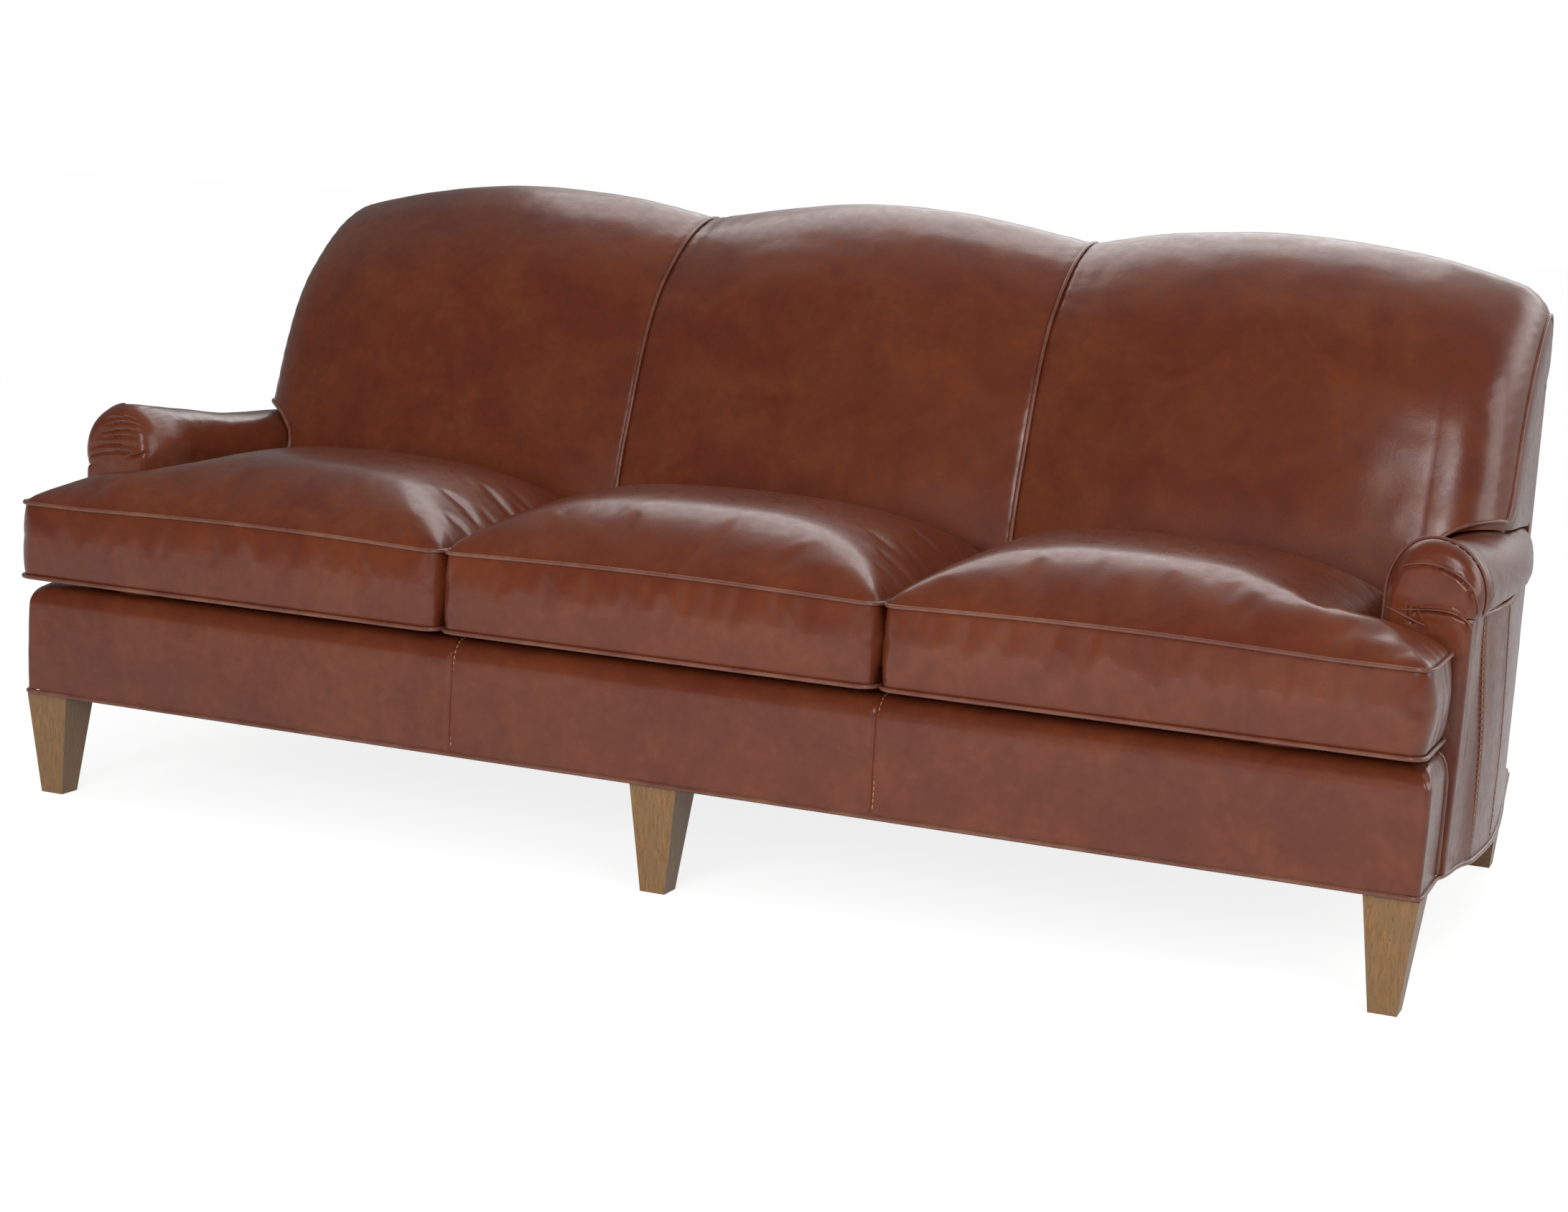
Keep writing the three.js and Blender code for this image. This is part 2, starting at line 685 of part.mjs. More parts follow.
// Welts: leather-covered cord over each seam of the back and round its ends.
// A cord follows the panel's outline and stands a little proud of the seam.
function backWeltPath(x, from) {
  const profile = backShares.map((share) => backPoint(x, share));
  const first = profile.findIndex((point) => point.z > from);
  const [below, above] = profile.slice(first - 1, first + 1);
  const start = below.clone().lerp(above, (from - below.z) / (above.z - below.z));
  const end = corner(x, backRearTop, backLip + weltRadius);
  const points = [start, ...profile.slice(first), end];
  return points.map((point, i) => {
    const before = points[Math.max(i - 1, 0)];
    const after = points[Math.min(i + 1, points.length - 1)];
    const along = after.clone().sub(before).normalize();
    return point.clone().addScaledVector(corner(0, -along.z, along.y), weltRadius - weltSink);
  });
}
const innerWelt = backWeltPath(seamX, deckHeight + gap + weltRadius);
const endWelt = backWeltPath(backHalfWidth - weltRadius, rollTop - endWeltDrop);
const weltTube = (path, spread) => sweep(path, weltRadius + spread, 8);
const innerWeltSpace = weltTube(innerWelt, gap);
const endWeltSpace = weltTube(endWelt, gap);

// The wings of the back pass over the arms and stay clear of them
const armShadow = join(
  armBody(wingClearance),
  block(armInner - wingClearance, backHalfWidth + overrun, armFront, frameRear + overrun,
    deckHeight - overrun, rollCentreZ),
);
place('back_panel_centre', cut(
  centrePanel, backFrameSpace, topRailSpace, innerWeltSpace, mirrored(innerWeltSpace),
), leather);
placePair('back_panel', cut(
  outerPanel, backFrameSpace, topRailSpace, armShadow, innerWeltSpace, endWeltSpace,
), leather);
placePair('back_seam_welt', weltTube(innerWelt, 0), weltLeather);
placePair('back_end_welt', weltTube(endWelt, 0), weltLeather);

// Outside back: a flat padded panel behind the frame, leaning out at the top
const outsideBackRing = (z, rear) => [
  [-backHalfWidth, frameRear + gap], [backHalfWidth, frameRear + gap],
  [backHalfWidth, rear - cornerRound], [backHalfWidth - cornerRound, rear],
  [-backHalfWidth + cornerRound, rear], [-backHalfWidth, rear - cornerRound],
].map(([x, y]) => corner(x, y, z));
place('outside_back', loft([
  outsideBackRing(coverBase, outsideBackFoot),
  outsideBackRing(backLip, backRearTop),
], 'z'), leather);

// Base welt: one cord round the foot of the covers
const sidePath = [
  [coverHalfWidth, cornerRound], [coverHalfWidth, borderDepth],
  ...armReturnOutline(borderDepth).slice(2, -1),
  ...sidePanelShares.slice(1, -1).map(([along, bow]) => [
    mix(armPanelRearX, armPanelBow, bow), mix(armSeam, frameRear, along),
  ]),
  [backHalfWidth, outsideBackFoot - cornerRound],
];
const cornerCut = cornerRound * (1 - Math.SQRT1_2);
const baseWeltRight = [
  [coverHalfWidth - cornerRound, 0], [coverHalfWidth - cornerCut, cornerCut],
  ...sidePath, [backHalfWidth - cornerRound, outsideBackFoot],
];
const proudOf = ([x, y]) => [
  x + (y > 0 && y < outsideBackFoot ? weltProud : 0),
  y + (y <= 0 ? -weltProud : 0) + (y >= outsideBackFoot ? weltProud : 0),
];
const baseWeltHalf = baseWeltRight.map(proudOf);
const baseWeltZ = coverBase - gap - weltRadius;
const baseWeltPath = [
  ...baseWeltHalf, ...baseWeltHalf.slice().reverse().map(([x, y]) => [-x, y]),
].map(([x, y]) => corner(x, y, baseWeltZ));
place('base_welt', sweep(baseWeltPath, weltRadius, 8, true), weltLeather);

// Dust cover: thin black cloth tacked under the frame, cut out round the legs
const legHole = ([, x, y]) => {
  const half = legTopWidth / 2 + gap * 2;
  return block(x - half, x + half, y - half, y + half, 0, legHeight + overrun);
};
place('dust_cover', cut(
  block(
    -frameHalfWidth + dustCoverInset, frameHalfWidth - dustCoverInset,
    frameFront + dustCoverInset, frameRear - dustCoverInset,
    frameBase - gap - dustCoverThickness, frameBase - gap,
  ),
  ...legSpots.map(legHole),
), dustCloth);

// Seat cushions: a crowned leather casing with a zip at the back, over a core.
// The outer two have an ear that wraps in front of the arm.
const columnShares = [0, 0.05, 0.18, 0.38, 0.62, 0.82, 0.95, 1];
const earColumnShares = [0.5, 0.9, 1];
const frontRowShares = [0, 0.14, 0.55, 1];
const rearRowShares = [0.35, 0.65, 0.88, 1];
const crownShape = 0.72;

function shrink(plan, inset) {
  return {
    x0: plan.x0 + inset, x1: plan.x1 - inset, ear: plan.ear - inset,
    y0: plan.y0 + inset, y1: plan.y1 - inset, notch: plan.notch - inset, inset,
  };
}

function cushionForm(plan) {
  const { x0, x1, ear, y0, y1, notch, inset } = plan;
  const hasEar = ear > x1;
  const columns = columnShares.map((share) => mix(x0, x1, share));
  if (hasEar) earColumnShares.forEach((share) => columns.push(mix(x1, ear, share)));
  const rows = frontRowShares.map((share) => mix(y0, notch, share));
  rearRowShares.forEach((share) => rows.push(mix(notch, y1, share)));
  const outside = (i, j) => columns[i] > x1 && rows[j] > notch;

  const edgeDistance = (x, y) => {
    const toSide = hasEar
      ? Math.min(ear - x, Math.hypot(Math.max(x1 - x, 0), Math.max(notch - y, 0)))
      : x1 - x;
    return Math.max(Math.min(x - x0, y - y0, y1 - y, toSide), 0);
  };
  const crown = (x, y) => {
    const near = Math.min(edgeDistance(x, y) / crownReach, 1);
    return (1 - (1 - near) ** 2) ** crownShape;
  };
  const isCorner = (x, y) => {
    const endX = x === x0 || x === (hasEar && y <= notch ? ear : x1);
    return endX && (y === y0 || y === y1 || (hasEar && x === ear && y === notch));
  };
  const softened = (x, y) => {
    if (!isCorner(x, y)) return [x, y];
    const inX = x === x0 ? 1 : -1;
    const inY = y === y0 ? 1 : -1;
    return [x + inX * cushionCorner, y + inY * cushionCorner];
  };

  const positions = [];
  const number = new Map();
  const add = (key, x, y, z) => {
    number.set(key, positions.length);
    positions.push(corner(x, y, z));
  };
  columns.forEach((x, i) => rows.forEach((y, j) => {
    if (outside(i, j)) return;
    const [sx, sy] = softened(x, y);
    const rise = seamRise * Math.sin(Math.PI * THREE.MathUtils.clamp((x - x0) / (x1 - x0), 0, 1));
    const full = crown(x, y);
    const floor = deckHeight + gap;
    add(`top ${i} ${j}`, sx, sy, topSeam + rise + crownHeight * full - inset);
    add(`base ${i} ${j}`, sx, sy, mix(bottomSeam, floor, full) + inset);
  }));

  const triangles = [];
  const edges = new Map();
  const face = (a, b, c) => {
    triangles.push(...[a, b, c].map((key) => number.get(`top ${key}`)));
    triangles.push(...[a, c, b].map((key) => number.get(`base ${key}`)));
    [[a, b], [b, c], [c, a]].forEach(([p, q]) => {
      if (edges.has(`${q},${p}`)) edges.delete(`${q},${p}`);
      else edges.set(`${p},${q}`, [p, q]);
    });
  };
  for (let i = 0; i < columns.length - 1; i += 1) {
    for (let j = 0; j < rows.length - 1; j += 1) {
      if (!outside(i + 1, j + 1)) {
        const keys = [[i, j], [i + 1, j], [i + 1, j + 1], [i, j + 1]].map((c) => c.join(' '));
        face(keys[0], keys[1], keys[2]);
        face(keys[0], keys[2], keys[3]);
      }
    }
  }
  const middle = (key) => {
    if (!number.has(`middle ${key}`)) {
      const [i, j] = key.split(' ').map(Number);
      const top = positions[number.get(`top ${key}`)];
      const base = positions[number.get(`base ${key}`)];
      const outX = hasEar && columns[i] === ear ? boxingBulge : 0;
      const outY = rows[j] === y0 ? -boxingBulge : 0;
      add(`middle ${key}`, top.x + outX, top.y + outY, (top.z + base.z) / 2);
    }
    return number.get(`middle ${key}`);
  };
  edges.forEach(([p, q]) => {
    const [tp, tq] = [p, q].map((key) => number.get(`top ${key}`));
    const [bp, bq] = [p, q].map((key) => number.get(`base ${key}`));
    const [mp, mq] = [middle(p), middle(q)];
    triangles.push(tq, tp, mp, tq, mp, mq, mq, mp, bp, mq, bp, bq);
  });
  return geometryFrom(positions, triangles);
}

const outerCushion = {
  x0: seamX + cushionSplit, x1: cushionSide, ear: earSide,
  y0: cushionFront, y1: cushionRear, notch: earRear, inset: 0,
};
const centreCushion = {
  x0: -seamX + cushionSplit, x1: seamX - cushionSplit, ear: seamX - cushionSplit,
  y0: cushionFront, y1: cushionRear, notch: earRear, inset: 0,
};

// The zip runs along the middle of the rear boxing, in a slot of its own
const zipMiddle = (bottomSeam + topSeam) / 2;
const zipShares = [0.2, 0.8];
const zipTapeShare = 0.33; // how far the tape lies behind the slider's face
const zipSliderShare = 0.5; // the slider's height against the tape's
const zipSlot = (plan) => block(
  ...zipShares.map((share) => mix(plan.x0, plan.x1, share)),
  plan.y1 - casingThickness - overrun, plan.y1 + overrun,
  zipMiddle - zipHeight / 2, zipMiddle + zipHeight / 2,
);
function zipOf(plan) {
  const [x0, x1] = zipShares.map((share) => mix(plan.x0, plan.x1, share));
  const back = plan.y1 - gap;
  const tape = block(
    x0 + gap, x1 - gap, back - zipDepth, back - zipDepth * zipTapeShare,
    zipMiddle - zipHeight / 2 + gap, zipMiddle + zipHeight / 2 - gap,
  );
  const slider = block(
    x1 - zipSliderLength - gap * 2, x1 - gap * 2, back - zipDepth, back,
    zipMiddle - (zipHeight / 2) * zipSliderShare, zipMiddle + (zipHeight / 2) * zipSliderShare,
  );
  return join(tape, slider);
}

function cushionPieces(plan) {
  return [
    ['casing', cut(cushionForm(plan), cushionForm(shrink(plan, casingThickness)), zipSlot(plan)),
      leather],
    ['core', cushionForm(shrink(plan, casingThickness + coreClearance)), foam],
    ['zip', zipOf(plan), zipBrass],
  ];
}
cushionPieces(centreCushion).forEach(([piece, geometry, material]) => {
  place(`cushion_${piece}_centre`, geometry, material);
});
cushionPieces(outerCushion).forEach(([piece, geometry, material]) => {
  placePair(`cushion_${piece}`, geometry, material);
});

// The origin stands under the middle of the whole sofa
const box = new THREE.Box3().setFromObject(sofa);
sofa.position.set(0, -(box.min.y + box.max.y) / 2, 0);
sofa.updateMatrixWorld(true);

export default sofa;
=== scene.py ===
import math

import bmesh
import bpy
import numpy as np
from mathutils import Matrix, Vector, noise


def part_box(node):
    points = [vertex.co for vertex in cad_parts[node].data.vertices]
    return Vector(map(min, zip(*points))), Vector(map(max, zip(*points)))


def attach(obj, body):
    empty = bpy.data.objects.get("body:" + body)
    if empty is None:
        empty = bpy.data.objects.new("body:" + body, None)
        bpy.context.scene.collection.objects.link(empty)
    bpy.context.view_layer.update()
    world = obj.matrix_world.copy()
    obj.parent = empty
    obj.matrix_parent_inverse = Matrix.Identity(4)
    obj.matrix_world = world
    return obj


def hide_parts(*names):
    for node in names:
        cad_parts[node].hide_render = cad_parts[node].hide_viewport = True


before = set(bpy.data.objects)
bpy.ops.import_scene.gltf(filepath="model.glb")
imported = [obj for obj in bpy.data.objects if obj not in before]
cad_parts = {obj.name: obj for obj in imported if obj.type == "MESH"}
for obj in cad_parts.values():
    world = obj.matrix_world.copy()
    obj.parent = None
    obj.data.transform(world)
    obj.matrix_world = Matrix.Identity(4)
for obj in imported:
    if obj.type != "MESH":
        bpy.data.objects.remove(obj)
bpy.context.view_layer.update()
scene = bpy.context.scene
scene.view_settings.view_transform = "Standard"


# Camera
# Stands to the right of the sofa and looks down a little, as the photographer did.
camera_turn, camera_dip, camera_roll = (math.radians(a) for a in (21.747, 8.991, 3.385))
camera_at = Vector((1.5474, -3.8766, 1.0203))
looking = Vector((
    -math.sin(camera_turn) * math.cos(camera_dip),
    math.cos(camera_turn) * math.cos(camera_dip),
    -math.sin(camera_dip),
))
level_right = Vector((math.cos(camera_turn), math.sin(camera_turn), 0))
level_up = level_right.cross(looking)
camera_right = level_right * math.cos(camera_roll) + level_up * math.sin(camera_roll)
camera_up = level_up * math.cos(camera_roll) - level_right * math.sin(camera_roll)
camera_data = bpy.data.cameras.new("camera")
camera_data.lens = 62.4876
camera_data.sensor_width = 36
camera = bpy.data.objects.new("camera", camera_data)
camera.matrix_world = Matrix.Translation(camera_at) @ Matrix(
    (camera_right, camera_up, -looking)).transposed().to_4x4()
scene.collection.objects.link(camera)
scene.camera = camera


# Legs
# Six square tapered feet of beech, stained golden brown and wiped, then given a satin
# lacquer. Each screws into the rails with a hanger bolt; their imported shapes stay.
def linear(hex_colour):
    """An sRGB hex colour as the linear colour that a shader takes."""
    parts = [int(hex_colour[i:i + 2], 16) / 255 for i in (1, 3, 5)]
    return [p / 12.92 if p <= 0.04045 else ((p + 0.055) / 1.055) ** 2.4 for p in parts] + [1]


def add_node(tree, kind, links=None, grain=None, **settings):
    """Adds a node with its settings. links gives each input a value or another's output.

    grain sizes a pattern: one unit of it is that many millimetres in x, y and z.
    """
    made = tree.nodes.new(kind)
    for key, value in settings.items():
        setattr(made, key, value)
    inputs = {}
    if grain:
        place = add_node(tree, "ShaderNodeTexCoord").outputs["Object"]
        scaled = add_node(tree, "ShaderNodeVectorMath", {
            0: place, 1: [1000 / size for size in grain]}, operation="MULTIPLY")
        inputs = {"Vector": scaled.outputs[0], "Scale": 1}
    inputs.update(links or {})
    for key, value in inputs.items():
        if isinstance(value, bpy.types.NodeSocket):
            tree.links.new(value, made.inputs[key])
        else:
            made.inputs[key].default_value = value
    return made


def new_finish(name, sockets):
    """A material with one Principled shader, whose sockets have these plain values."""
    material = bpy.data.materials.new(name)
    material.use_nodes = True
    tree = material.node_tree
    tree.nodes.clear()
    shader = add_node(tree, "ShaderNodeBsdfPrincipled", sockets)
    output = add_node(tree, "ShaderNodeOutputMaterial")
    tree.links.new(shader.outputs[0], output.inputs[0])
    return material, tree, shader


def two_toned(finish, pattern, dark, pale, raised=None, strength=0.0, height=0.0):
    """Colours a finish by a pattern, and raises one on it by a height in metres."""
    material, tree, shader = finish
    tone = add_node(tree, "ShaderNodeMix", {
        0: pattern.outputs[0], 6: linear(dark), 7: linear(pale)}, data_type="RGBA")
    tree.links.new(tone.outputs[2], shader.inputs["Base Color"])
    if raised:
        relief = add_node(tree, "ShaderNodeBump", {
            "Height": raised.outputs[0], "Strength": strength, "Distance": height})
        tree.links.new(relief.outputs[0], shader.inputs["Normal"])
    return tone


def refinish(node, material):
    """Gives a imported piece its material."""
    node.data.materials.clear()
    node.data.materials.append(material)


# Stained beech: grain runs up the leg, 3 mm wide, with darker pores; the stain is
# patchy over a few centimetres, and satin lacquer gives a soft wide gloss
finish = stained_beech, tree, shader = new_finish("stained_beech", {
    "Roughness": 0.38, "IOR": 1.5, "Coat Weight": 0.25, "Coat Roughness": 0.25})
grain = add_node(tree, "ShaderNodeTexNoise", {"Detail": 5, "Roughness": 0.6}, (3, 3, 60))
patches = add_node(tree, "ShaderNodeTexNoise", {"Detail": 3}, (30, 30, 45))
pores = add_node(tree, "ShaderNodeTexNoise", {"Detail": 2}, (1.5, 1.5, 14))
grain_share = add_node(tree, "ShaderNodeMapRange", {
    "Value": grain.outputs[0], "From Min": 0.35, "From Max": 0.65})
patch_share = add_node(tree, "ShaderNodeMapRange", {
    "Value": patches.outputs[0], "From Min": 0.3, "From Max": 0.7})
pore_share = add_node(tree, "ShaderNodeMapRange", {
    "Value": pores.outputs[0], "From Min": 0.6, "From Max": 0.72, "To Max": 0.55})
wood_tone = two_toned(finish, grain_share, "#7b5932", "#a37a4c", grain, 0.5, 0.0002)
for share, colour in ((patch_share, "#8a6a48"), (pore_share, "#4a3120")):
    wood_tone = add_node(tree, "ShaderNodeMix", {
        0: share.outputs[0], 6: wood_tone.outputs[2], 7: linear(colour)}, data_type="RGBA")
tree.links.new(wood_tone.outputs[2], shader.inputs["Base Color"])

leg_arris, arris_angle = 0.0022, math.radians(40)  # the sanded edges
for spot in ("front_left", "front_centre", "front_right", "rear_left", "rear_centre",
             "rear_right"):
    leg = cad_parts["leg_" + spot]
    refinish(leg, stained_beech)
    eased = leg.modifiers.new("eased edges", "BEVEL")
    eased.width, eased.segments, eased.limit_method = leg_arris, 3, "ANGLE"
    eased.angle_limit = arris_angle


# Timber frame
# Rails, stretchers, blocks, posts and arm rails of sawn hardwood, glued and dowelled,
# and back uprights of 25 mm birch plywood. All of it is hidden by the covers.
# Planed poplar: pale, with 5 mm grain along each board's length and no lacquer
finish = sawn_hardwood, tree, shader = new_finish("sawn_hardwood", {
    "Roughness": 0.72, "IOR": 1.5})
board_grain = add_node(tree, "ShaderNodeTexNoise", {"Detail": 5}, (90, 40, 5))
saw_marks = add_node(tree, "ShaderNodeTexWave", {"Distortion": 3, "Detail": 2}, (12, 12, 40))
two_toned(finish, board_grain, "#b08c5c", "#d9bd8f", saw_marks, 0.3, 0.0003)

# Birch plywood: 1.5 mm plies show on the cut edges as light and dark lines across x
finish = birch_plywood, tree, shader = new_finish("birch_plywood", {
    "Roughness": 0.68, "IOR": 1.5})
plies = add_node(tree, "ShaderNodeTexWave", None, (9.4, 4000, 4000), bands_direction="X")
face_grain = add_node(tree, "ShaderNodeTexNoise", {"Detail": 4}, (8, 8, 120))
ply_tone = two_toned(finish, plies, "#b9935f", "#e0c699")
ply_grain = add_node(tree, "ShaderNodeMix", {
    0: face_grain.outputs[0], 6: ply_tone.outputs[2], 7: linear("#cdb182")}, data_type="RGBA")
tree.links.new(ply_grain.outputs[2], shader.inputs["Base Color"])

for name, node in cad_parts.items():
    if name.startswith("back_upright"):
        refinish(node, birch_plywood)
    elif "rail" in name or "stretcher" in name or "block" in name or "post" in name:
        refinish(node, sawn_hardwood)


# Seat springs
# Nine sinuous springs of 4 mm drawn steel wire, bent to and fro and clipped to the
# front and rear rails, three to a seat.
# Drawn spring steel: dark blue-grey mill finish with faint lengthwise streaks
finish = drawn_steel, tree, shader = new_finish("drawn_spring_steel", {"Metallic": 1.0})
streaks = add_node(tree, "ShaderNodeTexNoise", {"Detail": 4}, (4, 30, 4))
two_toned(finish, streaks, "#5a5c61", "#8b8d92")
steel_gloss = add_node(tree, "ShaderNodeMapRange", {
    "Value": streaks.outputs[0], "To Min": 0.3, "To Max": 0.5})
tree.links.new(steel_gloss.outputs[0], shader.inputs["Roughness"])
for name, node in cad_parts.items():
    if name.startswith("seat_spring"):
        refinish(node, drawn_steel)


# Seat deck
# A pad of felt on burlap over the springs, covered in brown deck cloth and stapled to
# the rails. The loose cushions lie on it; it is wider where it passes the arms' fronts.
leg_setback = 0.040  # from the front cover's face to the middle of a front leg
leg_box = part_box("leg_front_centre")
front_face = (leg_box[0].y + leg_box[1].y) / 2 - leg_setback


def at(points):
    """Marks in millimetres as places in the frame, in metres."""
    return np.asarray(points, float) / 1000 + (0, front_face, 0)


def mix(a, b, share):
    """What lies at a share of the way from a to b."""
    return a + (b - a) * share


def ease(low, high, value):
    """0 below low, 1 above high, and a smooth rise between."""
    share = np.clip((np.asarray(value, float) - low) / (high - low), 0, 1)
    return share * share * (3 - 2 * share)


def ripple(points, size, seed=0.0):
    """Soft uneven waves about size millimetres long, between -1 and 1."""
    return np.array([noise.noise(Vector(p) / size + Vector((seed, seed * 1.7, -seed)))
                     for p in np.asarray(points, float)])


def make_piece(name, points, faces, material, slot, body="frame", sharp=40, closed=True):
    """A smooth-shaded piece from marks in millimetres, riding on its body."""
    mesh = bpy.data.meshes.new(name)
    mesh.from_pydata(at(points).tolist(), [], faces)
    mesh.materials.append(material)
    if closed:
        edit = bmesh.new()
        edit.from_mesh(mesh)
        bmesh.ops.recalc_face_normals(edit, faces=edit.faces)
        edit.to_mesh(mesh)
        edit.free()
    mesh.shade_smooth()
    mesh.set_sharp_from_angle(angle=math.radians(sharp))
    piece = bpy.data.objects.new(name, mesh)
    scene.collection.objects.link(piece)
    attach(piece, body)
    return piece


def marks(start, stop, step):
    """Evenly spaced marks from start to stop, about a step apart."""
    return np.linspace(start, stop, max(int(round(abs(stop - start) / step)), 1) + 1)


def pad_shell(columns, rows, kept, top, base, levels, bulge):
    """A pad over a grid of cells: its top, its underside, and walls round the outside.

    kept(i, j) says whether cell i, j is part of it; top and base give a mark for
    x and y; the walls have points at the levels' shares, pushed out by bulge(x, y).
    Returns marks, faces, the wall's outline and each outline point's wall numbers.
    """
    numbers, points, faces, edges = {}, [], [], {}
    cells = [(i, j) for i in range(len(columns) - 1) for j in range(len(rows) - 1)
             if kept(i, j)]
    for i, j in cells:
        ring = [(i, j), (i + 1, j), (i + 1, j + 1), (i, j + 1)]
        for key in ring:
            if key not in numbers:
                numbers[key] = len(points)
                x, y = columns[key[0]], rows[key[1]]
                points += [top(x, y), base(x, y)]
        faces.append([numbers[key] for key in ring])
        faces.append([numbers[key] + 1 for key in reversed(ring)])
        for p, q in zip(ring, ring[1:] + ring[:1]):
            if (q, p) in edges:
                del edges[(q, p)]
            else:
                edges[(p, q)] = q
    follow = {p: q for p, q in edges}
    outline = [min(follow)]
    while follow[outline[-1]] != outline[0]:
        outline.append(follow[outline[-1]])
    walls = []
    for n, key in enumerate(outline):
        before, after = outline[n - 1], outline[(n + 1) % len(outline)]
        a, b = (np.array(points[numbers[k]]) for k in (before, after))
        out = np.array([b[1] - a[1], a[0] - b[0], 0.0])
        out /= max(np.hypot(*out[:2]), 1e-6)
        high, low = (np.array(points[numbers[key] + k]) for k in (0, 1))
        wall = [numbers[key]]
        for share in levels:
            swell = bulge(columns[key[0]], rows[key[1]]) * 4 * share * (1 - share)
            wall.append(len(points))
            points.append(tuple(mix(high, low, share) + out * swell))
        wall.append(numbers[key] + 1)
        walls.append(wall)
    for wall, following in zip(walls, walls[1:] + walls[:1]):
        for k in range(len(wall) - 1):
            faces.append([wall[k + 1], following[k + 1], following[k], wall[k]])
    return np.array(points), faces, [(columns[i], rows[j]) for i, j in outline], walls


# Deck cloth: plain woven polypropylene, 1.2 mm threads drawn at 4 mm so that they show
finish = deck_cloth, tree, shader = new_finish("woven_deck_cloth", {
    "Roughness": 0.9, "IOR": 1.45, "Sheen Weight": 0.3})
warp, weft = (add_node(tree, "ShaderNodeTexWave", {"Scale": 0.35}, (4, 4, 4),
                       bands_direction=across) for across in "XY")
weave = add_node(tree, "ShaderNodeMath", {
    0: warp.outputs[0], 1: weft.outputs[0]}, operation="MULTIPLY")
two_toned(finish, weave, "#2a1c15", "#54402f", weave, 0.6, 0.0006)

deck_low, deck_high, deck_sewn_line = 302.8, 329.8, 180
deck_front, deck_ear_rear, deck_rear = 60.6, 154.4, 639.2
deck_wide, deck_narrow = 1051.6, 974.4
deck_columns = np.concatenate([
    marks(-deck_wide, -deck_narrow, 13), marks(-deck_narrow, deck_narrow, 15)[1:],
    marks(deck_narrow, deck_wide, 13)[1:]])
deck_rows = np.concatenate([
    marks(deck_front, deck_ear_rear, 13), marks(deck_ear_rear, deck_rear, 15)[1:]])


def deck_top(x, y):
    """Padded 3 mm lower at its edges, with a sewn line 120 mm behind the front."""
    edge = min(y - deck_front, deck_rear - y, deck_wide - abs(x))
    if y > deck_ear_rear:
        edge = min(edge, deck_narrow - abs(x))
    sewn = 2.5 * math.exp(-((y - deck_sewn_line) / 7) ** 2)
    felt = 0.8 * noise.noise(Vector((x, y, 0)) / 60)
    return x, y, deck_high - 1 - 4 * (1 - min(max(edge, 0) / 14, 1)) ** 2 - sewn + felt


deck = make_piece("deck_pad", *pad_shell(
    deck_columns, deck_rows,
    lambda i, j: deck_rows[j + 1] <= deck_ear_rear + 0.1
    or -deck_narrow - 0.1 <= deck_columns[i] < deck_narrow - 0.1,
    deck_top, lambda x, y: (x, y, deck_low), [0.35, 0.7], lambda x, y: 0)[:2],
    deck_cloth, "deck_cloth")
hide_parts("seat_deck")


# Front border
# One long leather band padded over the front rail, rounded over its top edge and round
# its two corners. Two upright seams join its three lengths, each top-stitched, and a
# welt closes each short return where it meets the arm.
def chain(*parts):
    """Lists of marks joined end to end, without the doubled ones."""
    joined = [np.asarray(parts[0], float)]
    joined += [np.asarray(part, float)[1:] for part in parts[1:]]
    return np.concatenate(joined)


def ring_faces(rings, around, capped=True):
    """Faces between closed rings of marks, with or without flat ends."""
    faces = []
    for r in range(rings - 1):
        for p in range(around):
            q = (p + 1) % around
            faces.append([r * around + p, r * around + q,
                          (r + 1) * around + q, (r + 1) * around + p])
    if capped:
        faces.append(list(range(around)))
        faces.append(list(range((rings - 1) * around, rings * around)))
    return faces


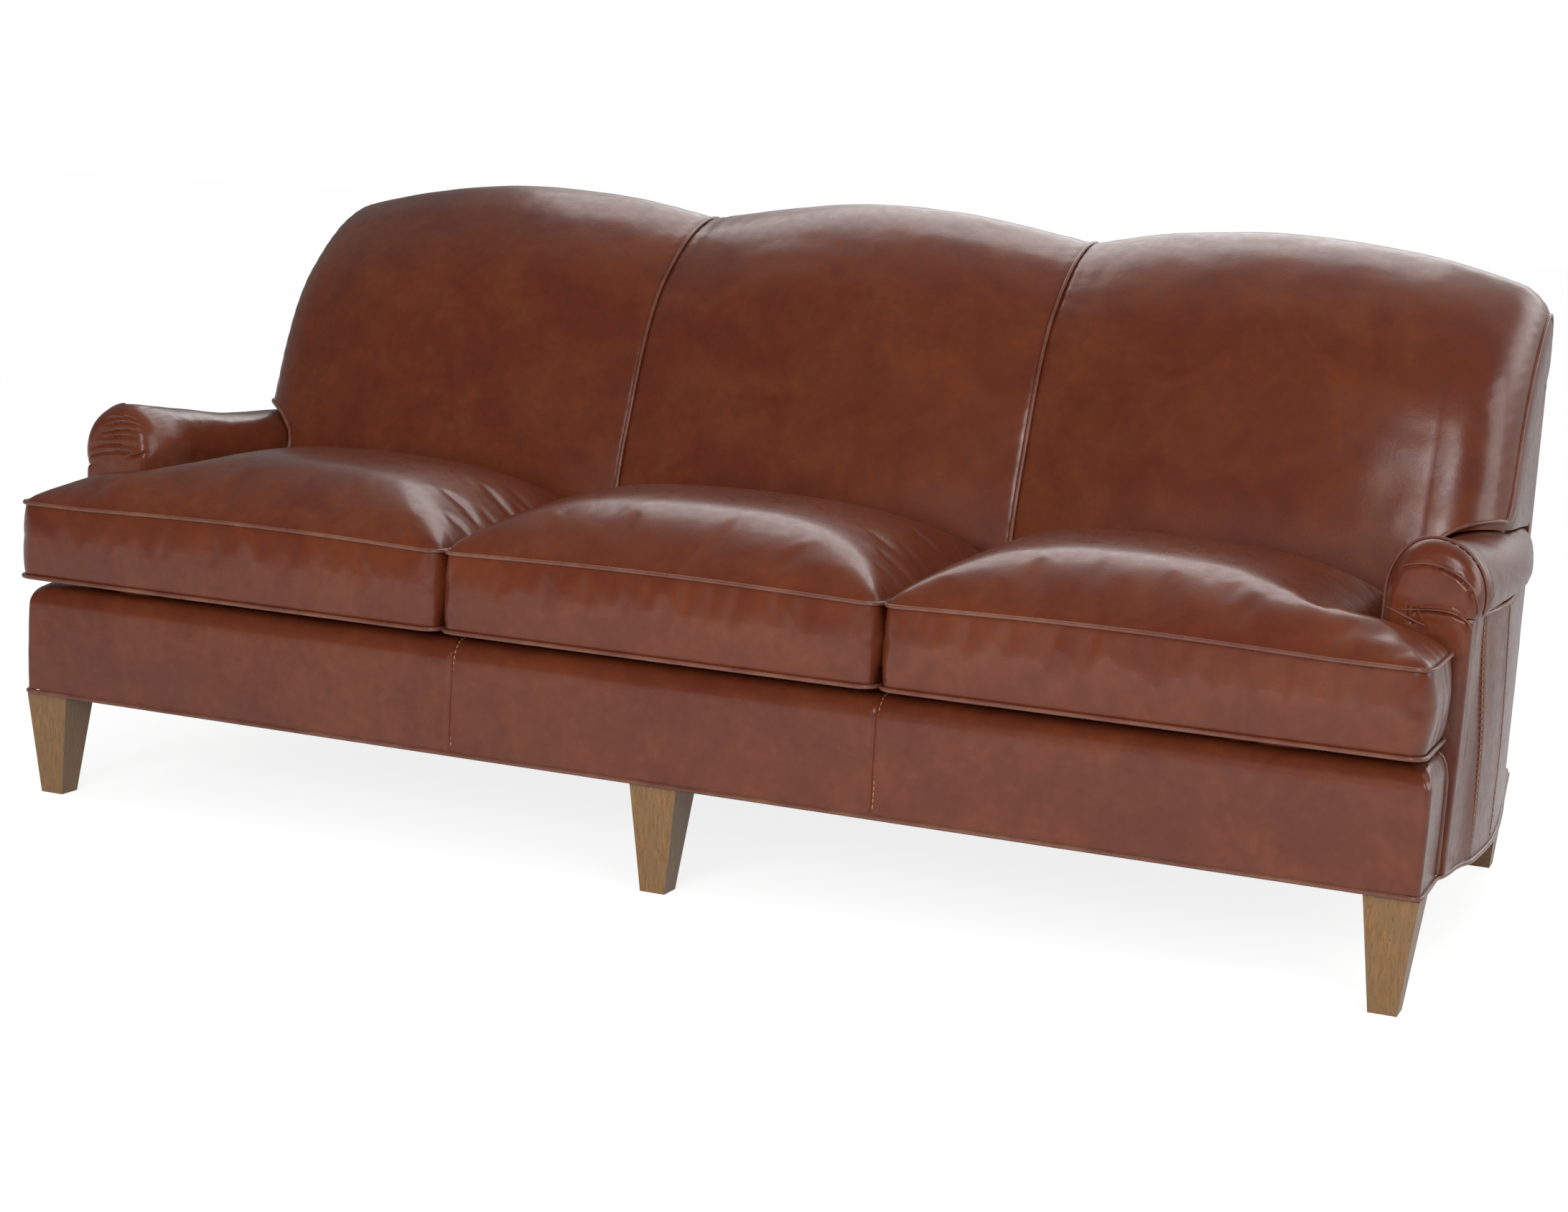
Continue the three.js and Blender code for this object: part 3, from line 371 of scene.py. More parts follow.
def leather_finish(name, deep, mid, golden, gloss):
    """Waxed pull-up leather in three tones, deep, mid and golden, mixed by random clouds and
    mottling.
    """
    finish = material, tree, shader = new_finish(name, {
        "IOR": 1.5, "Coat Weight": 0.35, "Coat Roughness": 0.16})
    # clouds of dye about 105 mm wide, wax mottling of 17 mm and soft creases of 34 mm
    clouds = add_node(tree, "ShaderNodeTexNoise", {
        "Detail": 4, "Roughness": 0.55, "Distortion": 0.6}, (105, 105, 105))
    mottle = add_node(tree, "ShaderNodeTexNoise", {
        "Detail": 5, "Roughness": 0.62}, (17, 17, 17))
    # hide grain: pebbles of about 1 mm, drawn at 3 mm so that they show
    pebbles = add_node(tree, "ShaderNodeTexVoronoi", None, (3, 3, 3), feature="SMOOTH_F1")
    hide = add_node(tree, "ShaderNodeTexNoise", {
        "Detail": 3, "Distortion": 0.8}, (34, 34, 34))
    cloud_share = add_node(tree, "ShaderNodeMapRange", {
        "Value": clouds.outputs[0], "From Min": 0.36, "From Max": 0.64})
    mottle_share = add_node(tree, "ShaderNodeMapRange", {
        "Value": mottle.outputs[0], "From Min": 0.35, "From Max": 0.75, "To Max": 0.35})
    tone = two_toned(finish, cloud_share, mid, golden)
    worn = add_node(tree, "ShaderNodeMix", {
        0: mottle_share.outputs[0], 6: tone.outputs[2], 7: linear(deep)},
        data_type="RGBA")
    tree.links.new(worn.outputs[2], shader.inputs["Base Color"])
    polish = add_node(tree, "ShaderNodeMapRange", {
        "Value": mottle.outputs[0], "From Min": 0.3, "From Max": 0.7,
        "To Min": gloss - 0.06, "To Max": gloss + 0.08})
    tree.links.new(polish.outputs[0], shader.inputs["Roughness"])
    soft_bump = add_node(tree, "ShaderNodeBump", {
        "Height": hide.outputs[0], "Strength": 0.35, "Distance": 0.0012})
    grain_bump = add_node(tree, "ShaderNodeBump", {
        "Height": pebbles.outputs[0], "Strength": 0.22, "Distance": 0.0004,
        "Normal": soft_bump.outputs[0]})
    tree.links.new(grain_bump.outputs[0], shader.inputs["Normal"])
    return material


# Chestnut pull-up leather: drum-dyed, waxed and polished. The hide is golden where it is
# stretched;
# here golden clouds lie at random over the red-brown, glossy enough to carry soft white window
# light
cover_leather = leather_finish("pull_up_leather", "#4a1f15", "#6a2f1c", "#783b1f", 0.3)
# The same hide in narrow strips over cord, paler than the cover: painted highlight on each cord
welt_leather = leather_finish("piped_leather_painted_highlight", "#4f2a20", "#734336", "#8a5a4a", 0.24)
# Bonded nylon thread in tan, with a slight sheen and fine twist
finish = tan_thread, tree, shader = new_finish("tan_nylon_thread", {
    "Roughness": 0.5, "IOR": 1.53})
twist = add_node(tree, "ShaderNodeTexWave", None, (2, 2, 2), bands_direction="DIAGONAL")
two_toned(finish, twist, "#a9794e", "#caa078")


def run_along(path):
    """How far along a path each of its marks is."""
    return np.concatenate([[0], np.cumsum(np.linalg.norm(np.diff(path, axis=0), axis=1))])


def unit(ways, least=1e-6):
    """Each way at a length of one; one that is shorter than the least stays short."""
    return ways / np.maximum(np.linalg.norm(ways, axis=1), least)[:, None]


def curved(a, b, leaving, arriving, share):
    """A share of the way along a smooth curve from a to b."""
    rest = 1 - share
    return ((1 + 2 * share) * rest ** 2 * a + share * rest ** 2 * leaving
            + share ** 2 * (3 - 2 * share) * b - share ** 2 * rest * arriving)


def even_path(path, step, closed=False):
    """A smooth path through the marks, with points an even step apart."""
    path = np.asarray(path, float)
    if closed:
        path = np.concatenate([path[-2:], path, path[:2]])
    else:
        path = np.concatenate([[2 * path[0] - path[1]], path, [2 * path[-1] - path[-2]]])
    gaps = np.diff(path, axis=0)
    sizes = np.linalg.norm(gaps, axis=1)[:, None]
    ways = gaps / sizes
    turns = unit(ways[:-1] * sizes[1:] + ways[1:] * sizes[:-1])
    turns *= np.minimum(sizes[:-1], sizes[1:])
    cuts = 8  # between two marks
    share = np.linspace(0, 1, cuts, endpoint=False)[:, None]
    fine = np.concatenate([curved(path[n], path[n + 1], turns[n - 1], turns[n], share)
                           for n in range(1, len(path) - 2)] + [path[-2:-1]])
    length = run_along(fine)
    if closed:  # from the first mark round to the first mark again
        fine, length = fine[cuts:], length[cuts:] - length[cuts]
    spots = marks(0, length[-1], step)
    even = np.array([np.interp(spots, length, fine[:, k]) for k in range(3)]).T
    return even[:-1] if closed else even


def tube(path, radius, closed=False, sides=10):
    """Marks and faces of a round cord along a path; radius may be one for each point."""
    path = np.asarray(path, float)
    radii = np.broadcast_to(radius, len(path))
    along = np.roll(path, -1, 0) - np.roll(path, 1, 0)
    if not closed:
        along[0], along[-1] = path[1] - path[0], path[-1] - path[-2]
    side = np.cross(unit(along)[0], (0.31, 0.17, 0.94))  # askew of every cord
    points = []
    for spot, way, size in zip(path, unit(along), radii):
        side = side - way * side.dot(way)
        side /= np.linalg.norm(side)
        up = np.cross(way, side)
        for turn in np.linspace(0, 2 * math.pi, sides, endpoint=False):
            points.append(spot + (side * math.cos(turn) + up * math.sin(turn)) * size)
    faces = ring_faces(len(path), sides, not closed)
    if closed:
        last = (len(path) - 1) * sides
        start = np.array(points[:sides])
        shift = int(np.argmin([np.linalg.norm(p - points[last]) for p in start]))
        for p in range(sides):
            q = (p + 1) % sides
            faces.append([last + p, last + q, (q + shift) % sides, (p + shift) % sides])
    return points, faces


def gathered(parts):
    """Several lots of marks and faces as one."""
    points, faces = [], []
    for some, rows in parts:
        first = len(points)
        points.extend(some)
        faces.extend([[first + n for n in row] for row in rows])
    return points, faces


def welt(name, path, radius, closed=False, body="frame"):
    """A leather-covered cord, with the slight waviness of a hand-fed one."""
    path = even_path(path, 5, closed)
    sizes = radius * (1 + 0.035 * ripple(path, 14))
    if not closed:  # its cut ends are pinched
        sizes[[0, -1]] *= 0.6
    # in the paler welt leather, whose paler tone is a painted highlight along the cord
    return make_piece(name, *tube(path, sizes, closed), welt_leather, "welt_leather", body,
                      sharp=60)


stitch_length, stitch_space, thread_radius, stitch_step = 5.5, 3.0, 0.85, 0.5


def stitches(name, path, outward):
    """Top-stitching: short threads along a path, each dipping into the leather."""
    path = even_path(path, stitch_step)
    every = int(round((stitch_length + stitch_space) / stitch_step))
    run = int(round(stitch_length / stitch_step))
    parts = []
    for start in range(0, len(path) - run, every):
        thread = path[start:start + run + 1:2]
        lift = 0.9 * np.sin(np.linspace(0, math.pi, len(thread)))[:, None] - 0.3
        thread = thread + np.asarray(outward, float) * lift * thread_radius
        parts.append(tube(thread, thread_radius, sides=6))
    return make_piece(name, *gathered(parts), tan_thread, "leather", sharp=80)


both_sides = ((1, "right"), (-1, "left"))
cover_foot, cover_inside = 166.3, 1052.4  # where every cover ends, and its hidden side
border_half, border_top = 1072.0, 330.0
border_return, border_lip, border_round, border_corner = 130.0, 60.0, 30.0, 10.0
border_inner_x, border_inner_y, border_under = 1052.3, 11.7, 302.6
border_seam = 327.0
# the welt of each return, from the foot up and in over the top, as [x, z] marks
return_welt_y, return_welt = 126.5, [(1072.6, 169), (1073.2, 230), (1073.0, 296), (1069.5, 315),
                                     (1062, 328), (1053, 331.5)]


def border_plan(inset):
    """Plan marks round the border at an inset from its face, from right to left."""
    turn_radius = border_corner + inset
    side = border_half - 0.6 * inset
    middle_x, middle_y = side - turn_radius, inset + turn_radius
    plan = [(side, mix(border_return, middle_y, k / 9)) for k in range(9)]
    for turn in np.linspace(math.pi / 2, 0, 9):
        plan.append((middle_x + turn_radius * math.sin(turn),
                     middle_y - turn_radius * math.cos(turn)))
    plan += [(x, inset) for x in border_front[1:-1] * (middle_x / border_front[0])]
    return np.array(plan + [(-x, y) for x, y in plan[17::-1]])


def seam_pull(from_seam, deep):
    """How far a top-stitched seam draws the leather in, less the swell beside it."""
    return deep * np.exp(-(from_seam / 2.6) ** 2) - 0.9 * np.exp(-((from_seam - 9) / 5) ** 2)


seam_spots = np.array([-16, -11, -7, -4.5, -2.8, -1.4, 0, 1.4, 2.8, 4.5, 7, 11, 16])
border_front = np.concatenate([
    marks(border_half - border_corner, border_seam + 26, 13), border_seam - seam_spots,
    marks(border_seam - 26, -border_seam + 26, 13), -border_seam - seam_spots,
    marks(-border_seam - 26, -border_half + border_corner, 13)])
border_levels = [(z, 0.0) for z in marks(cover_foot, border_top - border_round, 9)]
border_levels += [(border_top - border_round + border_round * math.sin(turn),
                   border_round * (1 - math.cos(turn)))
                  for turn in np.linspace(0, math.pi / 2, 10)[1:]]
border_layers = []
for z, inset in border_levels:
    plan = border_plan(inset)
    rise = (z - cover_foot) / (border_top - cover_foot)
    layer = np.column_stack([plan, np.full(len(plan), z)])
    across = abs(plan[:, 0])
    away = np.column_stack([
        np.sign(plan[:, 0]) * ease(border_half - 45, border_half - 5, across),
        -ease(-40, 10, border_half - 12 - across), np.zeros(len(plan))])
    fill = 2.6 * math.sin(math.pi * rise)
    pull = seam_pull(abs(across - border_seam), 2.6)
    corner = np.exp(-((across - 1050) / 26) ** 2) * ease(0.55, 0.95, rise)
    gather = corner * 1.3 * np.sin(across / 2.6 + plan[:, 1] / 3.1)
    soft = 1.1 * ripple(layer, 75) + 0.45 * ripple(layer, 22, 3.1)
    flat_end = 1 - ease(border_return - 8, border_return, plan[:, 1])
    depth = (fill + soft - pull + gather - 0.6) * flat_end * ease(-0.02, 0.06, rise)
    layer += unit(away, 1) * depth[:, None]
    layer[:, 2] -= pull * (inset / border_round) * 0.8
    border_layers.append(layer)
outer = border_layers[-1]
lip = np.column_stack([np.clip(outer[:, 0], -border_inner_x, border_inner_x),
                       np.maximum(outer[:, 1], border_lip), np.full(len(outer), border_top)])
half_lip = (outer + lip) / 2
under = lip - (0, 0, border_top - border_under)
inner_top = np.column_stack([under[:, 0], np.where(
    under[:, 1] > border_lip + 0.01, under[:, 1], border_inner_y), under[:, 2]])
inner_foot = inner_top * (1, 1, 0) + (0, 0, cover_foot)
border_layers += [half_lip, lip, under, inner_top, inner_foot]
stations = len(outer)
border_points = np.stack(border_layers, axis=1).reshape(-1, 3)
border = make_piece("front_border_cover", border_points,
                    ring_faces(stations, len(border_layers)), cover_leather, "leather")
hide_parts("front_border")
for side, word in both_sides:
    line = [(side * border_seam + 5, y - 0.4, z) for z, y in border_levels[1:]]
    line += [(side * border_seam + 5, 44, border_top + 0.2)]
    stitches("border_stitching_" + word, line, (0, -0.8, 0.25))
    welt("border_return_welt_" + word,
         [(side * x, return_welt_y, z) for x, z in return_welt], 3.2)


# Rolled arms
# Each arm is one leather cover pulled over padding on a post and a rail. It rolls over
# the top, gathers behind a welt round the nose, and is folded in pleats on the face.
# The same cover goes on round the side as far as an upright seam.
arm_front, arm_inner, arm_foot = 155.0, 956.0, 330.3
roll_x, roll_z, roll_radius, panel_top = 1022.0, 526.0, 72.0, 500.0
nose_depth, nose_inset = 32.0, 24.0
foot_lean, lean_height, lean_reach = 24.6, 164, 95  # of the cover's foot towards the border
fan_y, fan_z = 180, 486  # the foot of the nose's welt, where the outer folds start
rear_round_y, rear_round, rear_inset = 875, 20, 16  # how the roll ends behind the back
arm_seam = 249.7
# half width, half height and sideways shift of the roll, in radii, each at a depth
roll_widths = [(155, 1), (185, 1), (236, 1), (333, .98), (466, .985), (555, .985), (673, .972),
               (784, .93), (895, .88)]
roll_heights = [(155, 1.03), (185, 1.03), (236, .98), (333, .88), (466, .745), (555, .72),
                (673, .705), (895, .7)]
roll_shifts = [(155, 0), (185, 0), (236, .01), (333, .06), (466, .12), (555, .125), (673, .03),
               (784, -.11), (895, -.25)]
# how wide the cover is round the side below the roll, at its foot and at its top, each
# at a depth
return_feet = [(155, 1075), (157, 1079), (161, 1081.5), (170, 1082.5), (190, 1083.5),
               (212, 1085), (233, 1090), (249.7, 1096.6)]
return_tops = [(155, 1075), (157, 1080), (161, 1083), (170, 1084.5), (190, 1085.5),
               (220, 1085.5), (249.7, 1085.5)]


def flow(value, stops):
    """A smooth line through (place, size) stops, read at a place."""
    xs, ys = np.array(stops, float).T
    slopes = np.gradient(ys, xs)
    value = np.clip(value, xs[0], xs[-1])
    i = int(np.clip(np.searchsorted(xs, value) - 1, 0, len(xs) - 2))
    span = xs[i + 1] - xs[i]
    return curved(ys[i], ys[i + 1], span * slopes[i], span * slopes[i + 1],
                  (value - xs[i]) / span)


def roll_at(y):
    """The roll's middle, half width and half height at a depth, and how square it is."""
    wide, high = roll_radius * flow(y, roll_widths), roll_radius * flow(y, roll_heights)
    return (roll_x + roll_radius * flow(y, roll_shifts), roll_z - (roll_radius - high) * 0.5,
            wide, high, mix(1, 0.86, float(ease(250, 480, y))))


def arm_section(y, inset):
    """The arm's outline at a depth, from the deck over the roll to the floor and back."""
    x0, z0, wide, high, square = roll_at(y)
    wide, high = wide - inset, high - inset
    taper = 30 * (1 - float(ease(110, 262, y)))  # the nose narrows on the seat's side
    inner = arm_inner + inset * 0.4 + taper * 0.5
    ring = [(inner, z) for z in marks(arm_foot, 470, 12)]
    start = math.pi * 1.06
    last = math.asin(max((panel_top + 3.7 - z0) / high, -0.5))
    for turn in np.linspace(start, last, 104):
        low = ease(0.9 * math.pi, start, turn)
        across = math.copysign(abs(math.cos(turn)) ** square, math.cos(turn))
        x = x0 + wide * across + (taper - inset * 0.5) * max(-across, 0)
        ring.append((mix(x, inner, low * 0.7), z0 + high * math.sin(turn)))
    under = x0 + wide * 0.86
    if y <= arm_seam:
        def out(z):
            """How far out the side is at a height."""
            return mix(flow(y, return_feet), flow(y, return_tops),
                       float(ease(230, 470, z))) - 0.06 * inset
        ledge = float(np.clip((out(panel_top) - under) / 10, 0, 1))
        ring += [(min(under, out(panel_top)), panel_top + 0.8),
                 (out(panel_top) - 4 * ledge, panel_top + 2.5 * ledge)]
        ring += [(out(panel_top) - 0.8, panel_top - 1.5), (out(panel_top), panel_top - 6)]
        ring += [(out(z), z) for z in marks(panel_top - 6, border_top, 12)[1:]]
        ring += [(out(z), z) for z in marks(border_top, cover_foot, 12)[1:]]
        ring += [(cover_inside, cover_foot), (cover_inside, arm_foot)]
    else:
        ring += [(under, panel_top + 0.5)] + [(cover_inside, panel_top + 0.5)] * 3
        ring += [(cover_inside, z) for z in marks(panel_top - 6, border_top, 12)[1:]]
        ring += [(cover_inside, arm_foot)] * (len(marks(border_top, cover_foot, 12)) + 1)
    return np.array([(x, y, z) for x, z in ring])


def line_pull(points, line, width):
    """How near each mark is to a line of [x, z] marks: 1 on it, fading at its ends."""
    spots = points[:, [0, 2]]
    best = np.full(len(spots), 1e9)
    fade = np.zeros(len(spots))
    line = np.asarray(line, float)
    for n, (a, b) in enumerate(zip(line, line[1:])):
        way = b - a
        t = np.clip(((spots - a) @ way) / way.dot(way), 0, 1)
        away = np.linalg.norm(spots - a - t[:, None] * way, axis=1)
        share = (n + t) / (len(line) - 1)
        closer = away < best
        best = np.where(closer, away, best)
        fade = np.where(closer, np.sin(math.pi * np.clip(share, 0.04, 0.96)) ** 0.6, fade)
    return np.exp(-(best / width) ** 2) * fade


def nose_mark(x, z, lift):
    """The mark on the rounded nose of a right arm that is seen at x and z."""
    from_middle = math.hypot(x - roll_x, z - roll_z)
    inset = roll_radius - from_middle if z > panel_top else nose_inset
    share = 1 - min(max(inset / nose_inset, 0), 1)
    y = arm_front + nose_depth * (1 - math.sqrt(1 - share ** 2))
    out = share * lift / max(from_middle, 1)
    return x + (x - roll_x) * out, y - lift * (1 - share), z + (z - roll_z) * out


# Fold lines on each face, as [x, z] marks of a right arm. The right arm's face is laid
# in one broad tuck over a low pleat and a short fold; the left one's in five fine pleats
# over a long one, with a small tab beside it
right_tucks = {
    "tuck": [(984, 562), (1000, 568), (1020, 570.5), (1040, 567.5), (1062, 558), (1077, 545),
             (1085.5, 525), (1087, 508)],
    "low_pleat": [(985, 506), (1008, 508.5), (1032, 511), (1055, 510), (1073, 502.5),
                  (1085, 490)],
    "low_fold": [(970, 508), (985, 503), (1002, 496), (1024, 488)],
}
left_pleats = {
    "pleat_low": [(1090, 512), (1072, 521), (1050, 527), (1020, 531), (996, 531.5), (984, 528)],
    "pleat_2": [(1063, 536), (1045, 541), (1020, 543), (998, 541)],
    "pleat_3": [(1047, 549), (1030, 554), (1006, 557), (984, 556)],
    "pleat_4": [(1052, 559), (1030, 563), (1004, 567), (982, 566)],
    "pleat_5": [(1040, 571), (1020, 577), (1000, 577), (980, 571)],
    "pleat_6": [(1052, 577), (1034, 583), (1010, 585), (990, 580)],
    "pleat_tab": [(1002, 523), (992, 527), (981, 530), (973, 532)],
}

# how far back each section of the cover is, and how far inside its full outline
arm_stations = [(arm_front + nose_depth * (1 - math.cos(turn)),
                 nose_inset * (1 - math.sin(turn)))
                for turn in np.linspace(0, math.pi / 2, 15)]
arm_stations += [(y, 0) for y in chain(
    marks(arm_front + nose_depth, arm_seam - 0.1, 2.6), [arm_seam + 0.15],
    marks(arm_seam + 3, 330, 4), marks(330, rear_round_y, 15))[1:]]
arm_stations += [(rear_round_y + rear_round * math.sin(turn), rear_inset * (1 - math.cos(turn)))
                 for turn in np.linspace(0, math.pi / 2, 7)[1:]]


def roll_gathers(points, behind):
    """Fine gathers along the roll, from -1 to 1, that fade away behind its welt."""
    arc = np.arctan2(points[:, 2] - roll_z, points[:, 0] - roll_x) * roll_radius
    wander = 7 * ripple(points, 60, 9.0)
    gathers = np.sin((arc + wander) / 1.75) * (0.55 + 0.45 * ripple(points, 26, 4.0))
    fade = ease(-1, 5, behind) * np.exp(-np.maximum(behind, 0) / 38)
    return gathers * fade * ease(560, 588, points[:, 2])


def outer_folds(points, behind):
    """Folds that fan up over the outside of the roll from the foot of its welt."""
    up, back = points[:, 2] - fan_z, points[:, 1] - fan_y
    reach = np.hypot(up, back)
    outside = ease(1030, 1060, points[:, 0]) * ease(500, 512, points[:, 2]) * ease(0, 8, behind)
    fanned = np.sin(np.arctan2(up, back) * 30 + 2.5 * ripple(points, 40, 3.0))
    return fanned * outside * ease(14, 34, reach) * (1 - ease(70, 120, reach))


def lapped(points, edge, foot):
    """1 on the leather that is laid over the nose, 0 above its edge and below its foot."""
    middle = np.array([roll_x, roll_z - 14])
    edge, spot = np.array(edge, float) - middle, points[:, [0, 2]] - middle
    edge_turn, spot_turn = (np.arctan2(some[:, 1], some[:, 0]) for some in (edge, spot))
    order = np.argsort(edge_turn)
    limit = np.interp(spot_turn, edge_turn[order], np.hypot(*edge.T)[order])
    soft = mix(1.3, 18, ease(edge_turn.max() - 0.15, edge_turn.max() + 0.5, spot_turn))
    under_edge = ease(-1, 1, (limit - np.hypot(*spot.T)) / soft)
    soft = mix(14, 1.3, ease(968, 988, points[:, 0]))
    above_foot = points[:, 2] - np.interp(points[:, 0], *np.array(foot, float).T)
    return under_edge * ease(-1, 1, above_foot / soft)


def build_arm(side, word, folds, tuck_depth, lap=None):
    """One arm's cover. lap is the upper edge and the foot of the leather laid over it."""
    sections = [arm_section(y, inset) for y, inset in arm_stations]
    around = len(sections[0])
    middle = np.array([1012.0, 0, 512.0])  # where the end caps' sections close
    for ring in sections:  # the foot of the cover leans forward to the border
        low = np.clip((border_top - ring[:, 2]) / lean_height, 0, 1)
        ring[:, 1] -= foot_lean * low * np.clip((arm_seam - ring[:, 1]) / lean_reach, 0, 1)
    face = sections[0]
    cap = []
    for share in marks(0.05, 0.97, 0.033):
        ring = mix(np.broadcast_to(middle, face.shape), face, share)
        ring[:, 1] = mix(arm_front, face[:, 1], share ** 3) - 2.2 * (1 - share ** 2)
        cap.append(ring)
    sections = cap + sections
    rear = sections[-1]
    for share in (0.8, 0.4, 0.05):
        ring = mix(np.broadcast_to(middle, rear.shape), rear, share)
        ring[:, 1] = rear[:, 1] + 1 - share
        sections.append(ring)
    points = np.concatenate(sections)
    # which way each mark faces: out of the face at the front, off the roll behind it
    frontness = 1 - ease(arm_front, arm_front + nose_depth, points[:, 1])
    away = points - (roll_x, 0, roll_z)
    away[:, 1] = 0
    away[points[:, 2] < 470] *= (1, 1, 0)
    away = unit(away) * (1 - frontness)[:, None] + np.outer(frontness, (0, -1, 0))
    depth = ripple(points, 62, side * 2.0) + 0.4 * ripple(points, 20, 5.0 + side)
    behind = points[:, 1] - (arm_front + nose_depth)
    depth += 1.15 * roll_gathers(points, behind) + 1.3 * outer_folds(points, behind)
    # the welt round the nose pulls the leather in
    welted = ease(440, 480, points[:, 2]) * (1 if lap else ease(1022, 1046, points[:, 0]))
    depth -= 1.8 * np.exp(-((behind + 1) / 3.2) ** 2) * welted
    on_nose = frontness > 0.02
    for fold_name, line in folds.items():
        inwards = 0.04 if fold_name == "tuck" else 0  # the crease lies inside the tuck's lip
        crease = [(x - inwards * max(x - roll_x, 0), z - 2.4) for x, z in line]
        pull = line_pull(points, crease, 2.3)
        above = line_pull(points, [(x, z + 3.4) for x, z in line], 3.6)
        depth += on_nose * (tuck_depth * 0.6 * above - tuck_depth * 1.25 * pull)
    if lap:  # the rest of the face lies lower, clear of the seat's ear
        depth += 3.2 * (lapped(points, *lap) - 1) * frontness
    # long shallow creases down the front below the folds
    for line, strength in (([(985, 470), (1015, 492), (1050, 498)], 1.6),
                           ([(1000, 440), (1030, 462), (1068, 470)], 1.3)):
        depth -= on_nose * strength * line_pull(points, line, 9)
    hidden = (points[:, 0] < cover_inside + 0.6) & (points[:, 2] < arm_foot + 1)
    fixed = (points[:, 2] < cover_foot + 0.7) | hidden | (abs(points[:, 1] - arm_seam) < 1.2)
    depth[fixed] = 0
    points = points + away * depth[:, None]
    points[:, 0] *= side
    arm = make_piece("arm_cover_" + word, points, ring_faces(len(sections), around),
                     cover_leather, "leather")
    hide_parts("arm_pad_" + word)
    for fold_name, line in folds.items():
        lift = -1.3 if fold_name == "low_fold" else 1.1 if lap else 1.9
        path = even_path([nose_mark(x, z, lift) for x, z in line], 3)
        taper = np.sin(np.linspace(0.05, math.pi - 0.05, len(path))) ** 0.5
        path[:, 0] *= side
        lip = tube(path, (0.45 + 0.42 * tuck_depth) * taper, sides=8)
        # each lip is a tube of the paler welt leather, whose paler tone is a painted highlight
        # along the fold's edge
        make_piece("arm_%s_%s" % (fold_name, word), *lip, welt_leather, "welt_leather",
                   sharp=70)


build_arm(1, "right", right_tucks, 3.2, (right_tucks["tuck"], right_tucks["low_pleat"]))
build_arm(-1, "left", left_pleats, 1.9)
# the welt follows the roll just behind the nose, a little proud of it
nose_ring = arm_section(arm_front + nose_depth + 1, 0)
nose_middle = np.array([roll_x, arm_front + nose_depth + 1, roll_z])
nose_welt = []
for above, inner in ((455, True), (506, False)):
    kept = (nose_ring[:, 2] > above) & ((nose_ring[:, 0] < 1052) == inner)
    nose_welt += [spot + (spot - nose_middle) / np.linalg.norm(spot - nose_middle)
                  for spot in nose_ring[kept][::4]]
welt("arm_nose_welt_right", nose_welt, 2.3)
welt("arm_nose_welt_left", [(-x, y, z) for x, y, z in nose_welt if x > 1024], 1.9)
# the side rail is wrapped in leather where it shows between the border and the arm
wrap_x, wrap_swell, wrap_front, wrap_rear, hide_thickness = 1056, 5, 129, 172, 0.0016
wrap_foot, wrap_shoulder, wrap_top = 168, 300, 331
wrap_rows, wrap_columns = marks(wrap_foot, wrap_top, 9), marks(wrap_front, wrap_rear, 5)
wide = len(wrap_columns)
wrap_faces = [(i * wide + j, i * wide + j + 1, (i + 1) * wide + j + 1, (i + 1) * wide + j)
              for i in range(len(wrap_rows) - 1) for j in range(wide - 1)]
for side, word in both_sides:
    wrap_points = []
    for z in wrap_rows:
        swell = wrap_swell * ease(wrap_top, wrap_shoulder, z)
        wrap_points += [(side * (wrap_x + swell * math.sin(
            math.pi * (y - wrap_front) / (wrap_rear - wrap_front))), y, z) for y in wrap_columns]
    rail_wrap = make_piece("rail_wrap_" + word, wrap_points, wrap_faces, cover_leather,
                           "leather")
    rail_wrap.modifiers.new("leather thickness", "SOLIDIFY").thickness = hide_thickness


# Side panels
# Padded leather below each roll, bowed out in plan and turned in at the back. It is sewn
# to the arm's cover at one upright seam and has a second a hand's width behind, both
# top-stitched, with a stitched top edge under the roll.
# how far out each panel's foot is, and how far its top leans in, each at a depth
side_bows = [(250, 1096.6), (323.7, 1102.8), (392, 1105), (482, 1101.5), (585, 1093),
             (701, 1080.4), (805, 1069), (895, 1059)]
side_leans = [(250, 11), (320, 6), (546, 2), (760, 0), (895, 0)]
second_seam, panel_inside = 380.0, 1052.5
panel_y = np.concatenate([
    [250.1, 251.2, 253, 256, 261, 268], marks(280, second_seam - 24, 13),
    second_seam + seam_spots, marks(second_seam + 26, 880, 14), [886, 891, 894.6]])
panel_rings = []
for y in panel_y:
    x = flow(y, side_bows)
    lean = 1 - ease(250, 262, y)
    shut = 3.5 * lean + 5 * ease(876, 895, y)
    wall = [(x - 7, panel_top + 0.2), (x - 3.2, panel_top - 0.4), (x - 0.9, panel_top - 3)]
    wall += [(x, z) for z in marks(panel_top - 7, cover_foot, 11)]
    tip = flow(y, side_leans)  # it leans in towards the roll at its top
    ring = np.array([(px - shut - tip * ease(270, 500, z), y, z) for px, z in wall])
    pull = seam_pull(abs(y - second_seam), 2.4)
    rise = (ring[:, 2] - cover_foot) / (panel_top - cover_foot)
    fill = 2.2 * np.sin(math.pi * np.clip(rise, 0, 1)) * (1 - lean)
    soft = 1.2 * ripple(ring, 95, 7.0) + 0.4 * ripple(ring, 26, 1.0)
    ring[:, 0] += (fill + soft - pull) * ease(0.0, 0.05, rise) * (1 - ease(0.97, 1.0, rise))
    inner = [(panel_inside, y, z) for z in (cover_foot, border_top, panel_top + 0.1)]
    panel_rings.append(np.concatenate([ring, inner]))
panel_points = np.concatenate(panel_rings)
